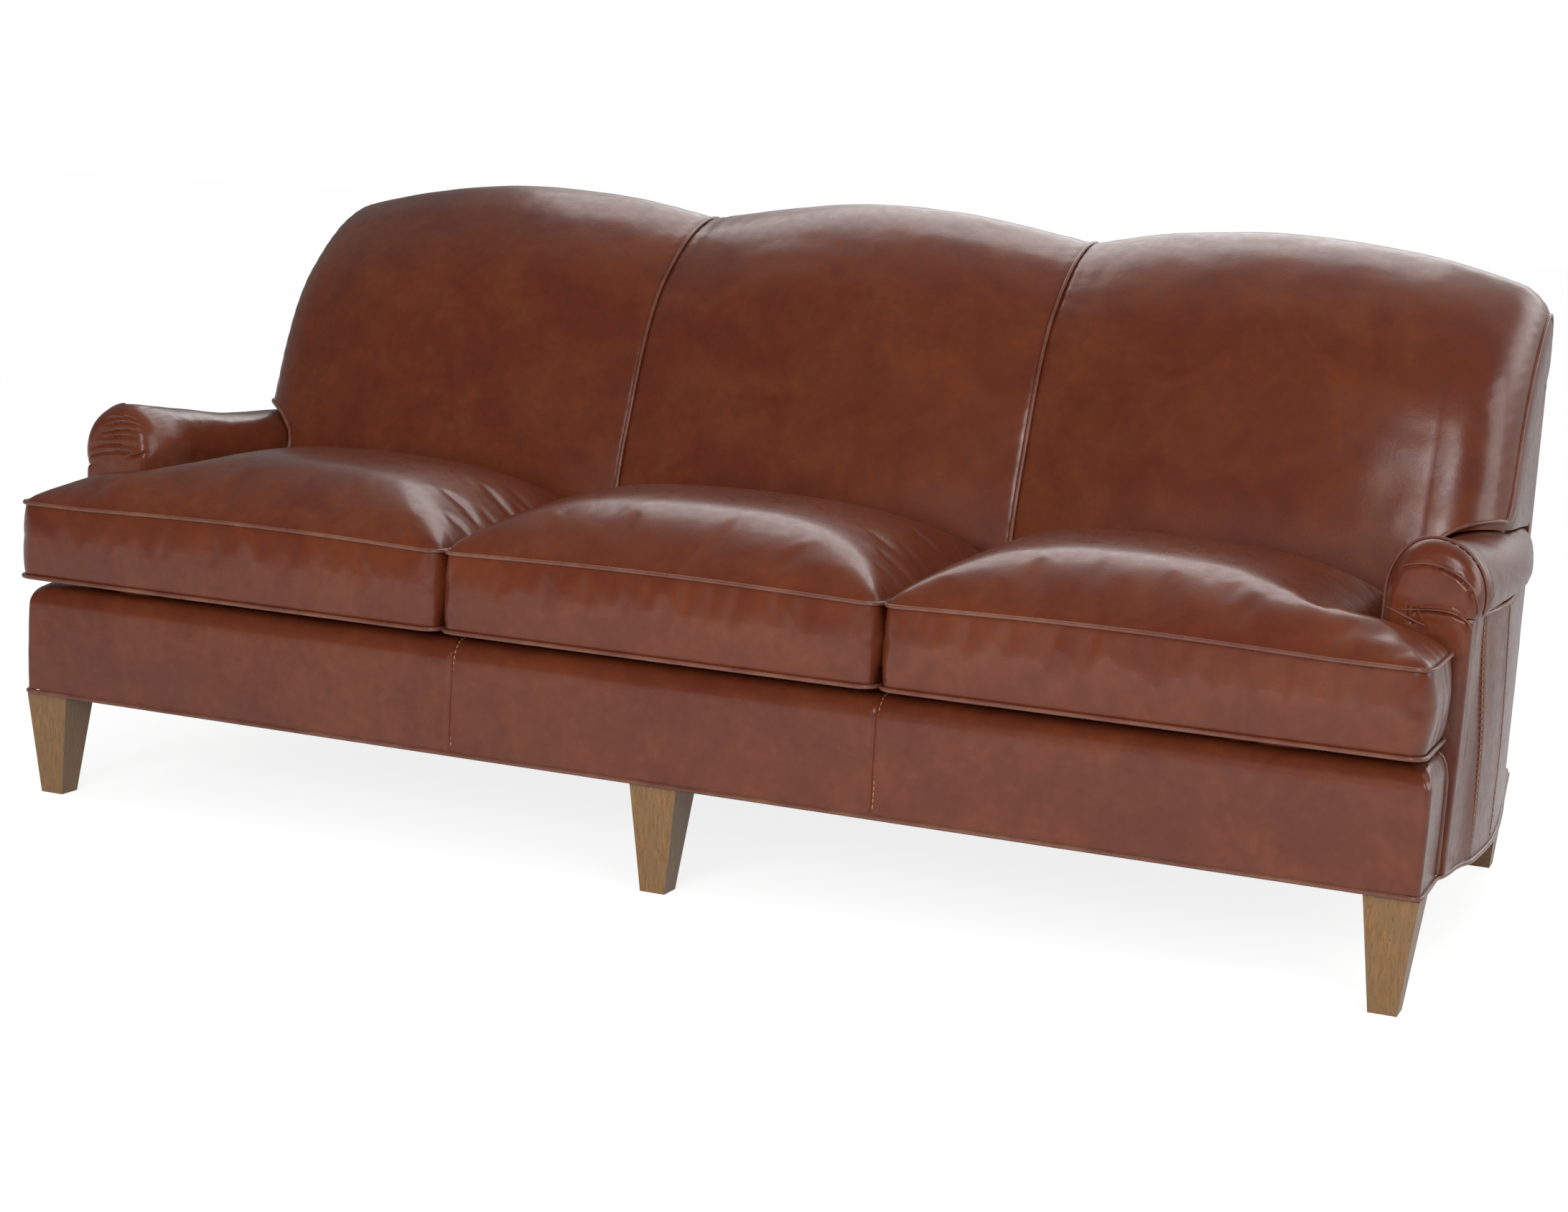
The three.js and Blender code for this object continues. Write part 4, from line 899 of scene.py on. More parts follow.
for side, word in both_sides:
    panel = make_piece("side_panel_cover_" + word, panel_points * (side, 1, 1),
                       ring_faces(len(panel_rings), len(panel_rings[0])), cover_leather,
                       "leather")
    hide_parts("side_panel_" + word)
    for row, y in (("front", 256.5), ("second", second_seam + 5.5)):
        x = flow(y, side_bows) - (1.2 if row == "front" else -0.4)
        line = []
        for s in np.linspace(0, 1, 14):
            z = mix(172, panel_top - 8, s)
            tip = flow(y, side_leans) * float(ease(270, 500, z))
            line.append((side * (x + 1.6 * math.sin(math.pi * s) - tip), y, z))
        stitches("side_stitching_%s_%s" % (row, word), line, (side, 0, 0))
    top_line = [(side * (flow(y, side_bows) - flow(y, side_leans) - 3.4), y, panel_top + 0.6)
                for y in marks(262, 860, 20)]
    stitches("side_top_stitching_" + word, top_line, (side * 0.3, 0, 1))


# Inside back
# Three leather panels stuffed and pulled over the plywood uprights and the shaped top
# rail: a middle one with a rounded crest and two outer ones that sweep back at their
# ends, where an end boxing closes them.
seam_x, back_half, back_front, back_top_y = 335.0, 1058.0, 500.0, 945.0
valley, centre_crest, outer_crest, outer_crest_x = 938.0, 980.0, 974.0, 640.1
wing_start, back_wing, back_bulge, back_foot = 935.0, 118.0, 24.0, 330.3
back_rear, lip_foot = 895.0, 815.6  # the timber's rear face, and how low the rear lip hangs
crest_round = 50.0  # at each end of the crest
wing_marks, face_marks = 26, 64  # along a section: up to where it leaves the arm, and on
# how far back the face has gone, and how far up, as shares of its depth and height
back_shares = np.array([
    (0, 0), (.063, .143), (.09, .261), (.126, .373), (.178, .482), (.234, .6), (.292, .7),
    (.373, .796), (.506, .89), (.645, .958), (.813, 1), (.933, .993), (1, .944)])
curve_size = (445, 600)
back_curve = even_path(np.column_stack([back_shares * curve_size, np.zeros(13)]), 4)
back_curve = back_curve[:, :2] / curve_size
curve_number = np.arange(len(back_curve))
rising = 80  # the curve's points up to where it turns over


def crest_at(x):
    """How high the back's crest is."""
    side = abs(x)
    if side <= seam_x:
        return valley + (centre_crest - valley) * math.cos((side / seam_x) * math.pi / 2)
    away = (side - outer_crest_x) / (outer_crest_x - seam_x)
    past = max(side - (back_half - crest_round), 0)
    rounding = crest_round - math.sqrt(max(crest_round ** 2 - past ** 2, 0))
    return outer_crest - (outer_crest - valley) * away ** 2 - rounding


def bulge_at(x):
    """How far the stuffing pushes a panel forward."""
    side = abs(x)
    reach = side / seam_x
    if side > seam_x:
        reach = (side - outer_crest_x) / (outer_crest_x - seam_x)
    return back_bulge * (1 - abs(reach) ** 3) if abs(reach) < 1 else 0


def wing_at(x):
    """How far an outer panel has swept back."""
    reach = (abs(x) - wing_start) / (back_half - wing_start)
    return back_wing * (1 - math.sqrt(max(1 - reach ** 2, 0))) if reach > 0 else 0


def roll_top(x, y):
    """How high the arm's roll is under a place."""
    x0, z0, wide, high, square = roll_at(y)
    across = min(abs(abs(x) - x0) / (wide + 2), 0.94)
    return z0 + (high + 2) * (1 - across ** (2 / square)) ** (square / 2)


def arm_height(x):
    """Where the wing clears the arm below it, or the deck inside the arms."""
    if abs(x) < arm_inner - 2:
        return back_foot
    return roll_top(x, 556 + wing_at(x)) + 1


def back_section(x):
    """The face of the back at x, from the deck or the arm up and over the crest."""
    crest, low = crest_at(x), arm_height(x)
    on_arm = low > back_foot  # a strip of boxing shows between the wing and the arm
    split = low + mix(3, 14, float(ease(arm_inner, 1050, abs(x)))) if on_arm \
        else mix(550, 537, float(ease(900, arm_inner, abs(x))))

    def number_at(z):
        """Which of the curve's points is at a height, counted with its fraction."""
        return float(np.interp((z - back_foot) / (crest - back_foot), back_curve[:rising, 1],
                               curve_number[:rising]))

    numbers = np.concatenate([
        np.linspace(number_at(low), number_at(split), wing_marks)[:-1],
        np.linspace(number_at(split), curve_number[-1], face_marks)])
    back, up = (np.interp(numbers, curve_number, back_curve[:, k]) for k in (0, 1))
    swell = np.sin(math.pi * mix(0.1, 0.9, up))
    y = mix(back_front, back_top_y, back) + wing_at(x) * (1 - back ** 3)
    section = np.column_stack([np.full(len(y), x), y - bulge_at(x) * swell,
                               mix(back_foot, crest, up)])
    if on_arm:  # the leather turns in over the arm
        section[:wing_marks - 1, 1] += 4 + 10 * (1 - np.linspace(0, 1, wing_marks - 1)) ** 0.5
    return section


def outward(section):
    """The way the leather faces along a section of the back."""
    along = np.gradient(section, axis=0)
    away = np.column_stack([np.zeros(len(along)), -along[:, 2], along[:, 1]])
    if abs(section[0][0]) > arm_inner - 2:
        away[:wing_marks] = away[wing_marks]
    return unit(away)


def back_ring(x):
    """One closed section: the face with its puckers, then the rear lip and inside."""
    section = back_section(x)
    run = run_along(section)
    side = abs(x)
    away = outward(section)
    from_seam = abs(side - seam_x)
    depth = 1.6 * ripple(section, 120, 2.0) + 0.7 * ripple(section, 38, 6.0)
    # the sewn seam draws the stuffing in, with short puckers that run off it
    depth -= 3.0 * math.exp(-(from_seam / 6) ** 2)
    pucker = np.sin((run + 0.35 * from_seam) / 4.4 + 2 * ripple(section, 50, 1.0))
    depth += 0.8 * pucker * math.exp(-from_seam / 22) * ease(2, 8, from_seam)
    # gathers that slant in from the end welts
    from_end = back_half - side
    slant = (run + from_end * 0.75) / 4.6 + 1.6 * ripple(section, 45, 8.0)
    depth += 1.7 * np.sin(slant) * math.exp(-from_end / 30) * ease(2, 10, from_end) \
        * (0.6 + 0.4 * ripple(section, 30, 3.0))
    # light tucks over the crest beside each valley
    top = ease(0.86, 0.97, (section[:, 2] - back_foot) / (crest_at(x) - back_foot))
    depth += 1.1 * top * math.sin(from_seam / 5.2) * math.exp(-from_seam / 34)
    if side > arm_inner - 2:
        depth[:wing_marks - 1] = 0
        run = run - run[wing_marks - 1]
    depth *= ease(0, 14, run) * ease(0, 12, run[-1] - run)
    section = section + away * depth[:, None]
    low = section[0][2]
    foot = []  # under the wing, close over the arm
    for share in (0, 0.25, 0.5, 0.75):
        y = mix(back_rear, section[0][1], share)
        foot.append((x, y, min(roll_top(x, min(y, 880)) + 1, low) if side > arm_inner - 2
                     else low))
    return np.concatenate([section, [
        (x, back_top_y, lip_foot + 0.4), (x, back_rear, lip_foot),
        (x, back_rear, mix(lip_foot, low, 0.5))], foot])


near_seam = np.array([0.3, 1.2, 2.5, 4.5, 7, 10, 14, 19, 25])
centre_x = np.concatenate([-seam_x + near_seam, marks(-seam_x + 33, seam_x - 33, 8),
                           (seam_x - near_seam)[::-1]])
outer_x = np.concatenate([
    seam_x + near_seam, marks(seam_x + 33, arm_inner - 14, 8), [946, 950, 953.4],
    marks(arm_inner, 1040, 5), marks(1043, back_half - 1, 3)])


def back_cover(name, xs, node, capped):
    """One panel of the back, from sections at these places across it."""
    rings = [back_ring(x) for x in xs]
    if capped:  # the end boxing is a little domed
        end = rings[-1]
        middle = np.array([end[0][0], 880.0, 760.0])  # of the boxing
        for share, out in ((0.97, 1.2), (0.88, 3), (0.7, 4.4), (0.45, 5), (0.2, 5.2),
                           (0.03, 5.2)):
            ring = mix(np.broadcast_to(middle, end.shape), end, share)
            rings.append(ring + (math.copysign(out, end[0][0]), 0, 0))
    piece = make_piece(name, np.concatenate(rings), ring_faces(len(rings), len(rings[0])),
                       cover_leather, "leather", sharp=50)
    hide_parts(node)


back_cover("back_cover_centre", centre_x, "back_panel_centre", False)
back_cover("back_cover_right", outer_x, "back_panel_right", True)
back_cover("back_cover_left", -outer_x, "back_panel_left", True)


# Back welts
# Leather-covered 5 mm cord sewn into the two seams between the back's panels and round
# each end. The end ones turn in over the arm at the foot.
for side, word in both_sides:
    seam = back_section(side * seam_x)
    seam = seam + outward(seam) * 1.2
    tail = [(side * seam_x, back_top_y + 1.5, 860), (side * seam_x, back_top_y + 1, 822)]
    inner = welt("back_seam_cord_" + word, np.concatenate([seam[1::3], tail]), 3.2)
    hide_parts("back_seam_welt_" + word)
    edge_x = back_half - 2.6
    end = back_section(side * edge_x)
    end = end + outward(end) * 1.6
    tail = [(side * edge_x, back_top_y + 1.5, 850), (side * edge_x, back_top_y + 1, 822)]
    inward = []  # up the arm's inner side from the seat, and out along the wing's foot
    inside = back_section(side * (arm_inner - 4))
    for z in (430, 455, 480, 505, 525):
        inward.append((side * (arm_inner - 1), np.interp(z, inside[:, 2], inside[:, 1]) - 1.5, z))
    for x in (960, 968, 978, 990, 1002, 1014, 1026, 1038, 1047, 1052.5):
        foot = back_section(side * x)[wing_marks - 1]
        inward.append((side * x, foot[1] - 1.0, foot[2] - 0.5))
    outer_cord = welt("back_end_cord_" + word,
                      np.concatenate([inward, end[30::3], tail]), 3.2)
    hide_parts("back_end_welt_" + word)


# Outside back
# One flat leather panel over a thin pad, closed at its edges with tack strip and nailed
# under the rear rail; it leans back a little towards the top.
outside_foot_y, outside_top, outside_front, outside_round = 925.0, 815.0, 895.4, 9
outside_rings = []
for z in chain(marks(cover_foot, cover_foot + 12, 3), marks(cover_foot + 12, 803, 18),
               marks(803, outside_top, 3)):
    rise = (z - cover_foot) / (outside_top - cover_foot)
    rear = mix(outside_foot_y, back_top_y, rise)
    edge = min(z - cover_foot, outside_top - z)
    shut = 4 * (1 - min(edge / outside_round, 1)) ** 2
    xs = np.concatenate([marks(-back_half, -back_half + 12, 3), marks(-back_half + 24,
                         back_half - 24, 18), marks(back_half - 12, back_half, 3)])
    row = []
    for x in xs:
        past = max(outside_round - (back_half - abs(x)), 0)
        round_in = outside_round - math.sqrt(max(outside_round ** 2 - past ** 2, 0))
        row.append((x, rear - shut - round_in, z))
    row = np.array(row)
    inside = ease(0, 40, edge) * ease(0, 40, back_half - abs(row[:, 0]))
    row[:, 1] += (2.2 * ripple(row, 210, 4.0) + 0.8 * ripple(row, 60, 2.0) + 1.5) * inside
    front = [(x, outside_front, z) for x in (back_half, 0, -back_half)]
    outside_rings.append(np.concatenate([row, front]))
outside = make_piece("outside_back_cover", np.concatenate(outside_rings),
                     ring_faces(len(outside_rings), len(outside_rings[0])), cover_leather,
                     "leather")
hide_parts("outside_back")


# Base welt
# One leather-covered cord sewn round the foot of every cover, a little proud of them.
# The first list is one side of its loop, from the front corner to the rear one.
base_half = [(1062, -1.0), (1069.2, 2.2), (1073, 10), (1073, 70), (1073, 126), (1075, 136),
             (1078, 146), (1082.5, 175), (1085, 200), (1087.5, 216), (1091, 230),
             (1098, 252)]
base_half += [(flow(y, side_bows) + 1, y) for y in (314.5, 392, 482, 585, 701, 805, 868)]
base_half += [(1059.5, 905), (1056, 919), (1046, 926)]
base_rear, base_front, base_height = 926.0, -1.6, 162.5
base_spots = (700, 350, 0, -350, -700)
base_loop = base_half + [(x, base_rear) for x in base_spots]
base_loop += [(-x, y) for x, y in base_half[::-1]] + [(-x, base_front) for x in base_spots]
base_cord = welt("base_cord", [(x, y, base_height) for x, y in base_loop], 3.5, closed=True)
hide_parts("base_welt")


# Dust cover
# Black non-woven cloth stapled under the rails and cut round the legs, with the slight
# sag of a stretched sheet between its staples.
# Spun polypropylene: dull black felt of 0.5 mm fibres, drawn at 3 mm
finish = dust_cloth, tree, shader = new_finish("spun_polypropylene", {
    "Roughness": 0.95, "IOR": 1.49})
fibres = add_node(tree, "ShaderNodeTexNoise", {"Detail": 5}, (3, 3, 3))
two_toned(finish, fibres, "#101011", "#2c2c2e", fibres, 0.5, 0.0005)

dust_low, dust_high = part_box("dust_cover")
dust_x = dust_high.x * 1000
dust_y0, dust_y1 = ((v.y - front_face) * 1000 for v in (dust_low, dust_high))
leg_gap, front_leg_y, rear_leg_y = 37.0, 40, 885  # the cloth's square holes and their rows
leg_spots = [(x, front_leg_y) for x in (1036, 0, -1036)]
leg_spots += [(x, rear_leg_y) for x in (1028, 0, -1028)]
dust_height, dust_sag, dust_thickness = 156.6, 3.0, 0.0008
dust_columns = sorted(set(np.round(np.concatenate([
    marks(-dust_x, dust_x, 28)] + [[x - leg_gap, x + leg_gap] for x, y in leg_spots]), 2)))
dust_columns = [x for x in dust_columns if -dust_x <= x <= dust_x]
dust_rows = sorted(set(np.round(np.concatenate([
    marks(dust_y0, dust_y1, 28), [front_leg_y + leg_gap, rear_leg_y - leg_gap]]), 2)))


def over_leg(x, y):
    """Whether a place is cut out for a leg."""
    return any(abs(x - lx) < leg_gap and abs(y - ly) < leg_gap for lx, ly in leg_spots)


dust_numbers, dust_points, dust_faces = {}, [], []
for i in range(len(dust_columns) - 1):
    for j in range(len(dust_rows) - 1):
        mid = ((dust_columns[i] + dust_columns[i + 1]) / 2, (dust_rows[j] + dust_rows[j + 1]) / 2)
        if over_leg(*mid):
            continue
        face = []
        for key in ((i, j), (i + 1, j), (i + 1, j + 1), (i, j + 1)):
            if key not in dust_numbers:
                x, y = dust_columns[key[0]], dust_rows[key[1]]
                inside = float(ease(0, 160, min(dust_x - abs(x), y - dust_y0, dust_y1 - y)))
                dust_numbers[key] = len(dust_points)
                dust_points.append((x, y, dust_height - dust_sag * inside))
            face.append(dust_numbers[key])
        dust_faces.append(face)
dust_sheet = make_piece("dust_sheet", dust_points, dust_faces, dust_cloth, "dust_cloth",
                        closed=False)
hemmed = dust_sheet.modifiers.new("cloth thickness", "SOLIDIFY")
hemmed.thickness, hemmed.offset = dust_thickness, 0
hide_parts("dust_cover")


# Seat cushions
# Three loose leather casings over foam cores, each with a boxing band, a welt in each
# seam and a brass zip behind. The outer two have an ear in front of the arm. A cloth
# simulation blows each up, so that it swells and puckers between its seams.
bottom_seam, top_seam, seam_rise = 347.0, 461.0, 6.0
casing_crown, core_crown, core_inset = 85, 74, 9
most_swell, blow_frames, zip_depth = 0.022, 20, 5.5
cushion_front, cushion_rear, ear_rear = -33.0, 480.0, 144.0
crown_reach, crown_shape = 236.0, 0.82
corner_round = 24.0
wall_levels = [0.09, 0.18, 0.27, 0.36, 0.43, 0.452, 0.548, 0.57, 0.64, 0.73, 0.82, 0.91]


def cushion_plan(x0, x1, ear, inset):
    """The seam line's marks: left, right, ear, front, rear and the ear's rear edge."""
    return (x0 + inset, x1 - inset, ear - inset, cushion_front + inset, cushion_rear - inset,
            ear_rear - inset)


def build_casing(plan, crown_height, step, inset):
    """Marks and faces of a cushion's form, its outline and its walls' numbers."""
    x0, x1, ear, y0, y1, notch = plan
    has_ear = ear > x1 + 1
    columns = marks(x0, x1, step)
    if has_ear:
        columns = chain(columns, marks(x1, ear, step))
    rows = chain(marks(y0, notch, step), marks(notch, y1, step))
    corners = [(x0, y0, -1, -1), (x0, y1, -1, 1), (x1, y1, 1, 1)]
    corners += [(ear, y0, 1, -1), (ear, notch, 1, 1)] if has_ear else [(x1, y0, 1, -1)]

    def softened(x, y):
        """A place moved in so that the plan's outer corners are round."""
        for cx, cy, sx, sy in corners:
            u = (x - cx + sx * corner_round) * sx / corner_round
            v = (y - cy + sy * corner_round) * sy / corner_round
            if 0 <= u <= 1.001 and 0 <= v <= 1.001:
                far, side = u * math.sqrt(1 - v * v / 2), v * math.sqrt(1 - u * u / 2)
                return (cx - sx * corner_round + sx * corner_round * far,
                        cy - sy * corner_round + sy * corner_round * side)
        return x, y

    def crown(x, y):
        """The crown's rise, from 0 at a seam to 1 at its fullest."""
        side = x1 - x
        if has_ear:
            side = min(ear - x, math.hypot(max(x1 - x, 0), max(notch - y, 0)))
        edges = np.maximum([x - x0, y - y0, y1 - y, side], 0.01)
        near = min(float((edges ** -2.6).sum() ** (-1 / 2.6)) * 1.18 / crown_reach, 1)
        full = (1 - (1 - near) ** 2) ** crown_shape
        return full * (1 - 0.32 * float(ease(900, 1040, x))) if has_ear else full

    def top(x, y):
        """A mark on the upper panel."""
        rise = seam_rise * math.sin(math.pi * min(max((x - x0) / (x1 - x0), 0), 1))
        return (*softened(x, y), top_seam + rise + crown_height * crown(x, y) - inset)

    def base(x, y):
        """A mark on the lower panel, which the deck flattens."""
        return (*softened(x, y), mix(bottom_seam, arm_foot + 0.4, crown(x, y)) + inset)

    def bulge(x, y):
        """How far the boxing swells out."""
        if y > y1 - 0.1:
            return 0
        return 4.5 if y < y0 + 0.1 or (has_ear and x > ear - 0.1) else 2.2

    return pad_shell(columns, rows, lambda i, j: columns[i] < x1 - 0.1
                     or rows[j] < notch - 0.1, top, base, wall_levels, bulge)


def blow_up(piece, pinned, most):
    """Swells a casing by cloth pressure, its seams held, each point moved at most so far."""
    mesh = piece.data
    before = np.zeros(len(mesh.vertices) * 3)
    mesh.vertices.foreach_get("co", before)
    group = piece.vertex_groups.new(name="sewn")
    group.add(pinned, 1.0, "REPLACE")
    cloth = piece.modifiers.new("pressure", "CLOTH")
    settings = cloth.settings
    settings.quality = 6
    settings.mass = 0.4
    settings.tension_stiffness = settings.compression_stiffness = 12
    settings.shear_stiffness = 6
    settings.bending_stiffness = 2.5
    settings.use_pressure = True
    settings.uniform_pressure_force = 4
    settings.shrink_min = -0.008
    settings.vertex_group_mass = "sewn"
    settings.effector_weights.gravity = 0
    cloth.collision_settings.use_collision = False
    cloth.point_cache.frame_start, cloth.point_cache.frame_end = 1, blow_frames
    for step in range(1, blow_frames + 1):
        scene.frame_set(step)
    graph = bpy.context.evaluated_depsgraph_get()
    swollen = np.zeros(len(mesh.vertices) * 3)
    piece.evaluated_get(graph).data.vertices.foreach_get("co", swollen)
    piece.modifiers.remove(cloth)
    scene.frame_set(1)
    moved = (swollen - before).reshape(-1, 3)
    reach = np.linalg.norm(moved, axis=1)
    held = np.minimum(reach, most) / np.maximum(reach, 1e-9)
    after = before.reshape(-1, 3) + moved * held[:, None]
    mesh.vertices.foreach_set("co", after.ravel())
    mesh.update()


# Foam: cut polyurethane, cream, with open cells of 1 mm drawn at 3 mm
finish = seat_foam, tree, shader = new_finish("polyurethane_foam", {
    "Roughness": 0.95, "IOR": 1.45})
cells = add_node(tree, "ShaderNodeTexVoronoi", None, (3, 3, 3))
two_toned(finish, cells, "#cdbf98", "#efe6cc", cells, 0.6, 0.0008)
# Zip: woven tape with brass teeth 2.5 mm apart
finish = zip_brass, tree, shader = new_finish("brass_zip", {
    "Metallic": 1.0, "Roughness": 0.36})
teeth = add_node(tree, "ShaderNodeTexWave", {"Scale": 0.32}, (2.5, 4000, 4000),
                 bands_direction="X")
two_toned(finish, teeth, "#4d3a1c", "#b8924c", teeth, 0.7, 0.0006)

welt_half, welt_stand = 3.2, 2.4  # its half thickness, and how far outside the seam it is
split_inset = welt_half + 0.4


def build_cushion(word, x0, x1, ear, side):
    """Casing, core, welts and zip of one cushion; side mirrors the left one."""
    plan = cushion_plan(x0, x1, ear, 0)
    points, faces, outline, walls = build_casing(plan, casing_crown, 9.5, 0)
    zip_from, zip_to = mix(x0, x1, 0.19), mix(x0, x1, 0.81)
    for (x, y), wall in zip(outline, walls):
        if y > cushion_rear - 0.1 and zip_from < x < zip_to:
            for number in wall[6:8]:
                points[number][1] -= zip_depth
    points = points * (side, 1, 1)
    body = "cushion_" + word
    casing = make_piece("cushion_cover_" + word, points, faces, cover_leather, "leather",
                        body, sharp=75)
    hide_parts("cushion_casing_" + word)
    pinned = sorted({wall[k] for wall in walls for k in (0, -1)} | {
        number for (x, y), wall in zip(outline, walls)
        if y > cushion_rear - 12 or (x > x1 + 1 and y > ear_rear - 1)
        for number in wall})
    blow_up(casing, pinned, most_swell)
    floor = (arm_foot + 0.1) / 1000
    for vertex in casing.data.vertices:
        vertex.co.z = max(vertex.co.z, floor)
    smooth = casing.modifiers.new("smooth leather", "SUBSURF")
    smooth.levels = smooth.render_levels = 1
    core_points, core_faces = build_casing(
        cushion_plan(x0, x1, ear, core_inset), core_crown, 22, core_inset)[:2]
    core = make_piece("cushion_foam_" + word, core_points * (side, 1, 1), core_faces,
                      seat_foam, "foam", body, sharp=60)
    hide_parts("cushion_core_" + word)
    refinish(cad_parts["cushion_zip_" + word], zip_brass)
    sewn = np.array([tuple(v.co) for v in casing.data.vertices]) - (0, front_face, 0)
    sewn *= 1000
    for level, number, drop in (("top", 0, -0.4), ("bottom", -1, 0.4)):
        loop = np.array([sewn[wall[number]] for wall in walls])
        along = np.roll(loop, -1, 0) - np.roll(loop, 1, 0)
        out = np.column_stack([along[:, 1], -along[:, 0], np.zeros(len(loop))]) * side
        welt("cushion_welt_%s_%s" % (level, word),
             loop + unit(out) * welt_stand + (0, 0, drop), welt_half, closed=True, body=body)


seat_split, split_gap = 335, 1
centre_edge = seat_split - split_gap - split_inset
build_cushion("centre", -centre_edge, centre_edge, centre_edge, 1)
for side, word in both_sides:
    build_cushion(word, seat_split + split_gap + split_inset, 944, 1063.5, side)


# Studio
# A white floor out to the horizon, and softboxes in front, at the right and overhead.
# The leather's gloss also mirrors two softboxes of its own and a dim room, with one
# bright band of window behind the sofa that stops short on the left.
def plain_view(tree):
    """A tree's light paths, and 1 for the rays that should see a plain white room."""
    rays = add_node(tree, "ShaderNodeLightPath")
    return rays, add_node(tree, "ShaderNodeMath", {
        0: rays.outputs["Is Camera Ray"], 1: rays.outputs["Is Transmission Ray"]},
        operation="MAXIMUM")


# Painted studio floor: flat white; it keeps the sofa's shadow for the camera
studio_floor = bpy.data.materials.new("white_studio_floor")
studio_floor.use_nodes = True
tree = studio_floor.node_tree
tree.nodes.clear()
scuffs = add_node(tree, "ShaderNodeTexNoise", {"Detail": 3}, (400, 400, 400))
floor_tone = add_node(tree, "ShaderNodeMix", {
    0: scuffs.outputs[0], 6: linear("#b4b4b4"), 7: linear("#b8b8b8")}, data_type="RGBA")
floor_paint = add_node(tree, "ShaderNodeBsdfDiffuse", {"Color": floor_tone.outputs[2]})
floor_shown, floor_mirrored = 0.82, 0.36  # how bright the camera and the gloss see it
rays, seen = plain_view(tree)
mirror_glow = add_node(tree, "ShaderNodeMath", {
    0: rays.outputs["Is Glossy Ray"], 1: floor_mirrored}, operation="MULTIPLY")
floor_glow = add_node(tree, "ShaderNodeMath", {
    0: seen.outputs[0], 1: floor_shown, 2: mirror_glow.outputs[0]}, operation="MULTIPLY_ADD")
floor_white = add_node(tree, "ShaderNodeEmission", {"Strength": floor_glow.outputs[0]})
floor_both = add_node(tree, "ShaderNodeAddShader", {
    0: floor_paint.outputs[0], 1: floor_white.outputs[0]})
add_node(tree, "ShaderNodeOutputMaterial", {0: floor_both.outputs[0]})
floor_mesh = bpy.data.meshes.new("studio_floor")
floor_reach = 60
floor_mesh.from_pydata([(x * floor_reach, y * floor_reach, 0) for x, y in (
    (-1, -1), (1, -1), (1, 1), (-1, 1))], [], [(0, 1, 2, 3)])
floor_mesh.materials.append(studio_floor)
floor = bpy.data.objects.new("studio_floor", floor_mesh)
scene.collection.objects.link(floor)

world = bpy.data.worlds.new("studio")
scene.world = world
world.use_nodes = True
tree = world.node_tree
tree.nodes.clear()
room = add_node(tree, "ShaderNodeTexCoord").outputs["Generated"]
room_parts = add_node(tree, "ShaderNodeSeparateXYZ", {0: room})
# each row: an axis, where along it a share starts and ends its rise, and from what to what
room_shares = {}
for name, axis, start, stop, first, last in (
        ("behind", "Y", -0.6, 0.3, 0.05, 0.17), ("window_x", "X", -0.56, -0.26, 0, 1),
        ("window_y", "Y", 0.15, 0.5, 0, 1), ("window_z", "Z", 0.12, 0.34, 0, 1),
        ("window_top", "Z", 0.38, 0.64, 1, 0)):
    room_shares[name] = add_node(tree, "ShaderNodeMapRange", {
        "Value": room_parts.outputs[axis], "From Min": start, "From Max": stop,
        "To Min": first, "To Max": last}, interpolation_type="SMOOTHSTEP").outputs[0]
window_corner = add_node(tree, "ShaderNodeMath", {
    0: room_shares["window_x"], 1: room_shares["window_y"]}, operation="MULTIPLY")
window_band = add_node(tree, "ShaderNodeMath", {
    0: room_shares["window_z"], 1: room_shares["window_top"]}, operation="MULTIPLY")
window = add_node(tree, "ShaderNodeMath", {
    0: window_corner.outputs[0], 1: window_band.outputs[0]}, operation="MULTIPLY")
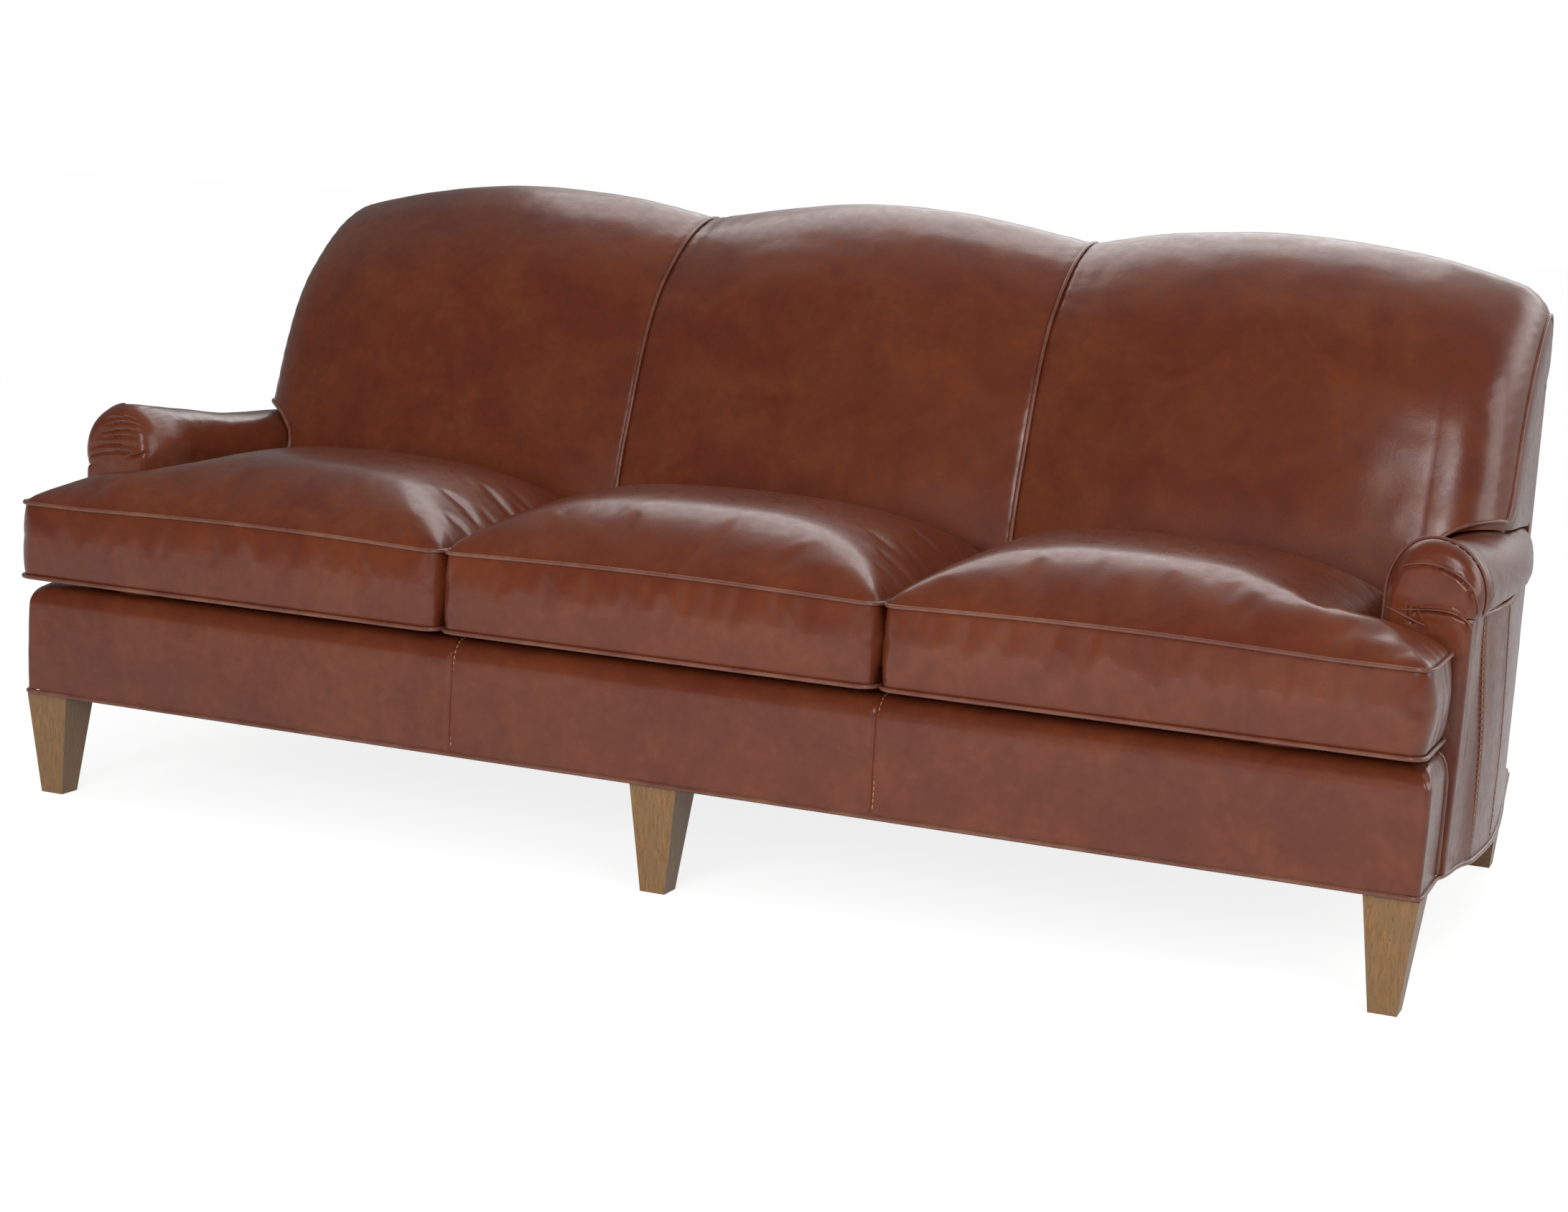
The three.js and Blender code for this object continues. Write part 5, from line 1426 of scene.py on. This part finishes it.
window_glow, backdrop_glow, diffuse_room = 1.5, 0.3, 0.36
backdrop = add_node(tree, "ShaderNodeMath", {
    0: window_corner.outputs[0], 1: backdrop_glow, 2: room_shares["behind"]},
    operation="MULTIPLY_ADD")
mirrored = add_node(tree, "ShaderNodeMath", {
    0: window.outputs[0], 1: window_glow, 2: backdrop.outputs[0]}, operation="MULTIPLY_ADD")
rays, seen = plain_view(tree)
glossy_room = add_node(tree, "ShaderNodeMix", {
    0: rays.outputs["Is Glossy Ray"], 2: diffuse_room, 3: mirrored.outputs[0]})
room_light = add_node(tree, "ShaderNodeMix", {
    0: seen.outputs[0], 2: glossy_room.outputs[0], 3: 1.0})
background = add_node(tree, "ShaderNodeBackground", {
    "Color": (1, 1, 1, 1), "Strength": room_light.outputs[0]})
add_node(tree, "ShaderNodeOutputWorld", {0: background.outputs[0]})


def soft_light(name, place, towards, wide, high, watts, glossy, diffuse=True):
    """A softbox, and whether the gloss and the colour of a surface show it."""
    lamp = bpy.data.lights.new(name, "AREA")
    lamp.shape, lamp.size, lamp.size_y, lamp.energy = "RECTANGLE", wide, high, watts
    light = bpy.data.objects.new(name, lamp)
    light.location = place
    light.rotation_euler = (Vector(towards) - Vector(place)).to_track_quat("-Z", "Y").to_euler()
    light.visible_glossy, light.visible_diffuse = glossy, diffuse
    scene.collection.objects.link(light)


soft_light("overhead_softbox", (0.7, 1.35, 2.8), (0.1, 0, 0.4), 1.9, 1.0, 11, False)
soft_light("rear_softbox", (-0.25, 1.55, 2.3), (0.1, 0, 0.5), 2.4, 1.1, 12, True, False)
soft_light("strip_softbox", (2.5, -2.5, 2.0), (0.9, 0, 0.5), 0.6, 1.0, 8, True, False)
soft_light("front_softbox", (0.4, -4.3, 1.4), (0.1, 0, 0.6), 2.6, 1.6, 104, False)
soft_light("right_front_softbox", (2.4, -2.6, 2.1), (0.7, 0, 0.5), 1.5, 1.2, 17, True)
soft_light("right_softbox", (3.6, 0.4, 1.5), (0.6, 0, 0.5), 1.2, 1.6, 14, True)
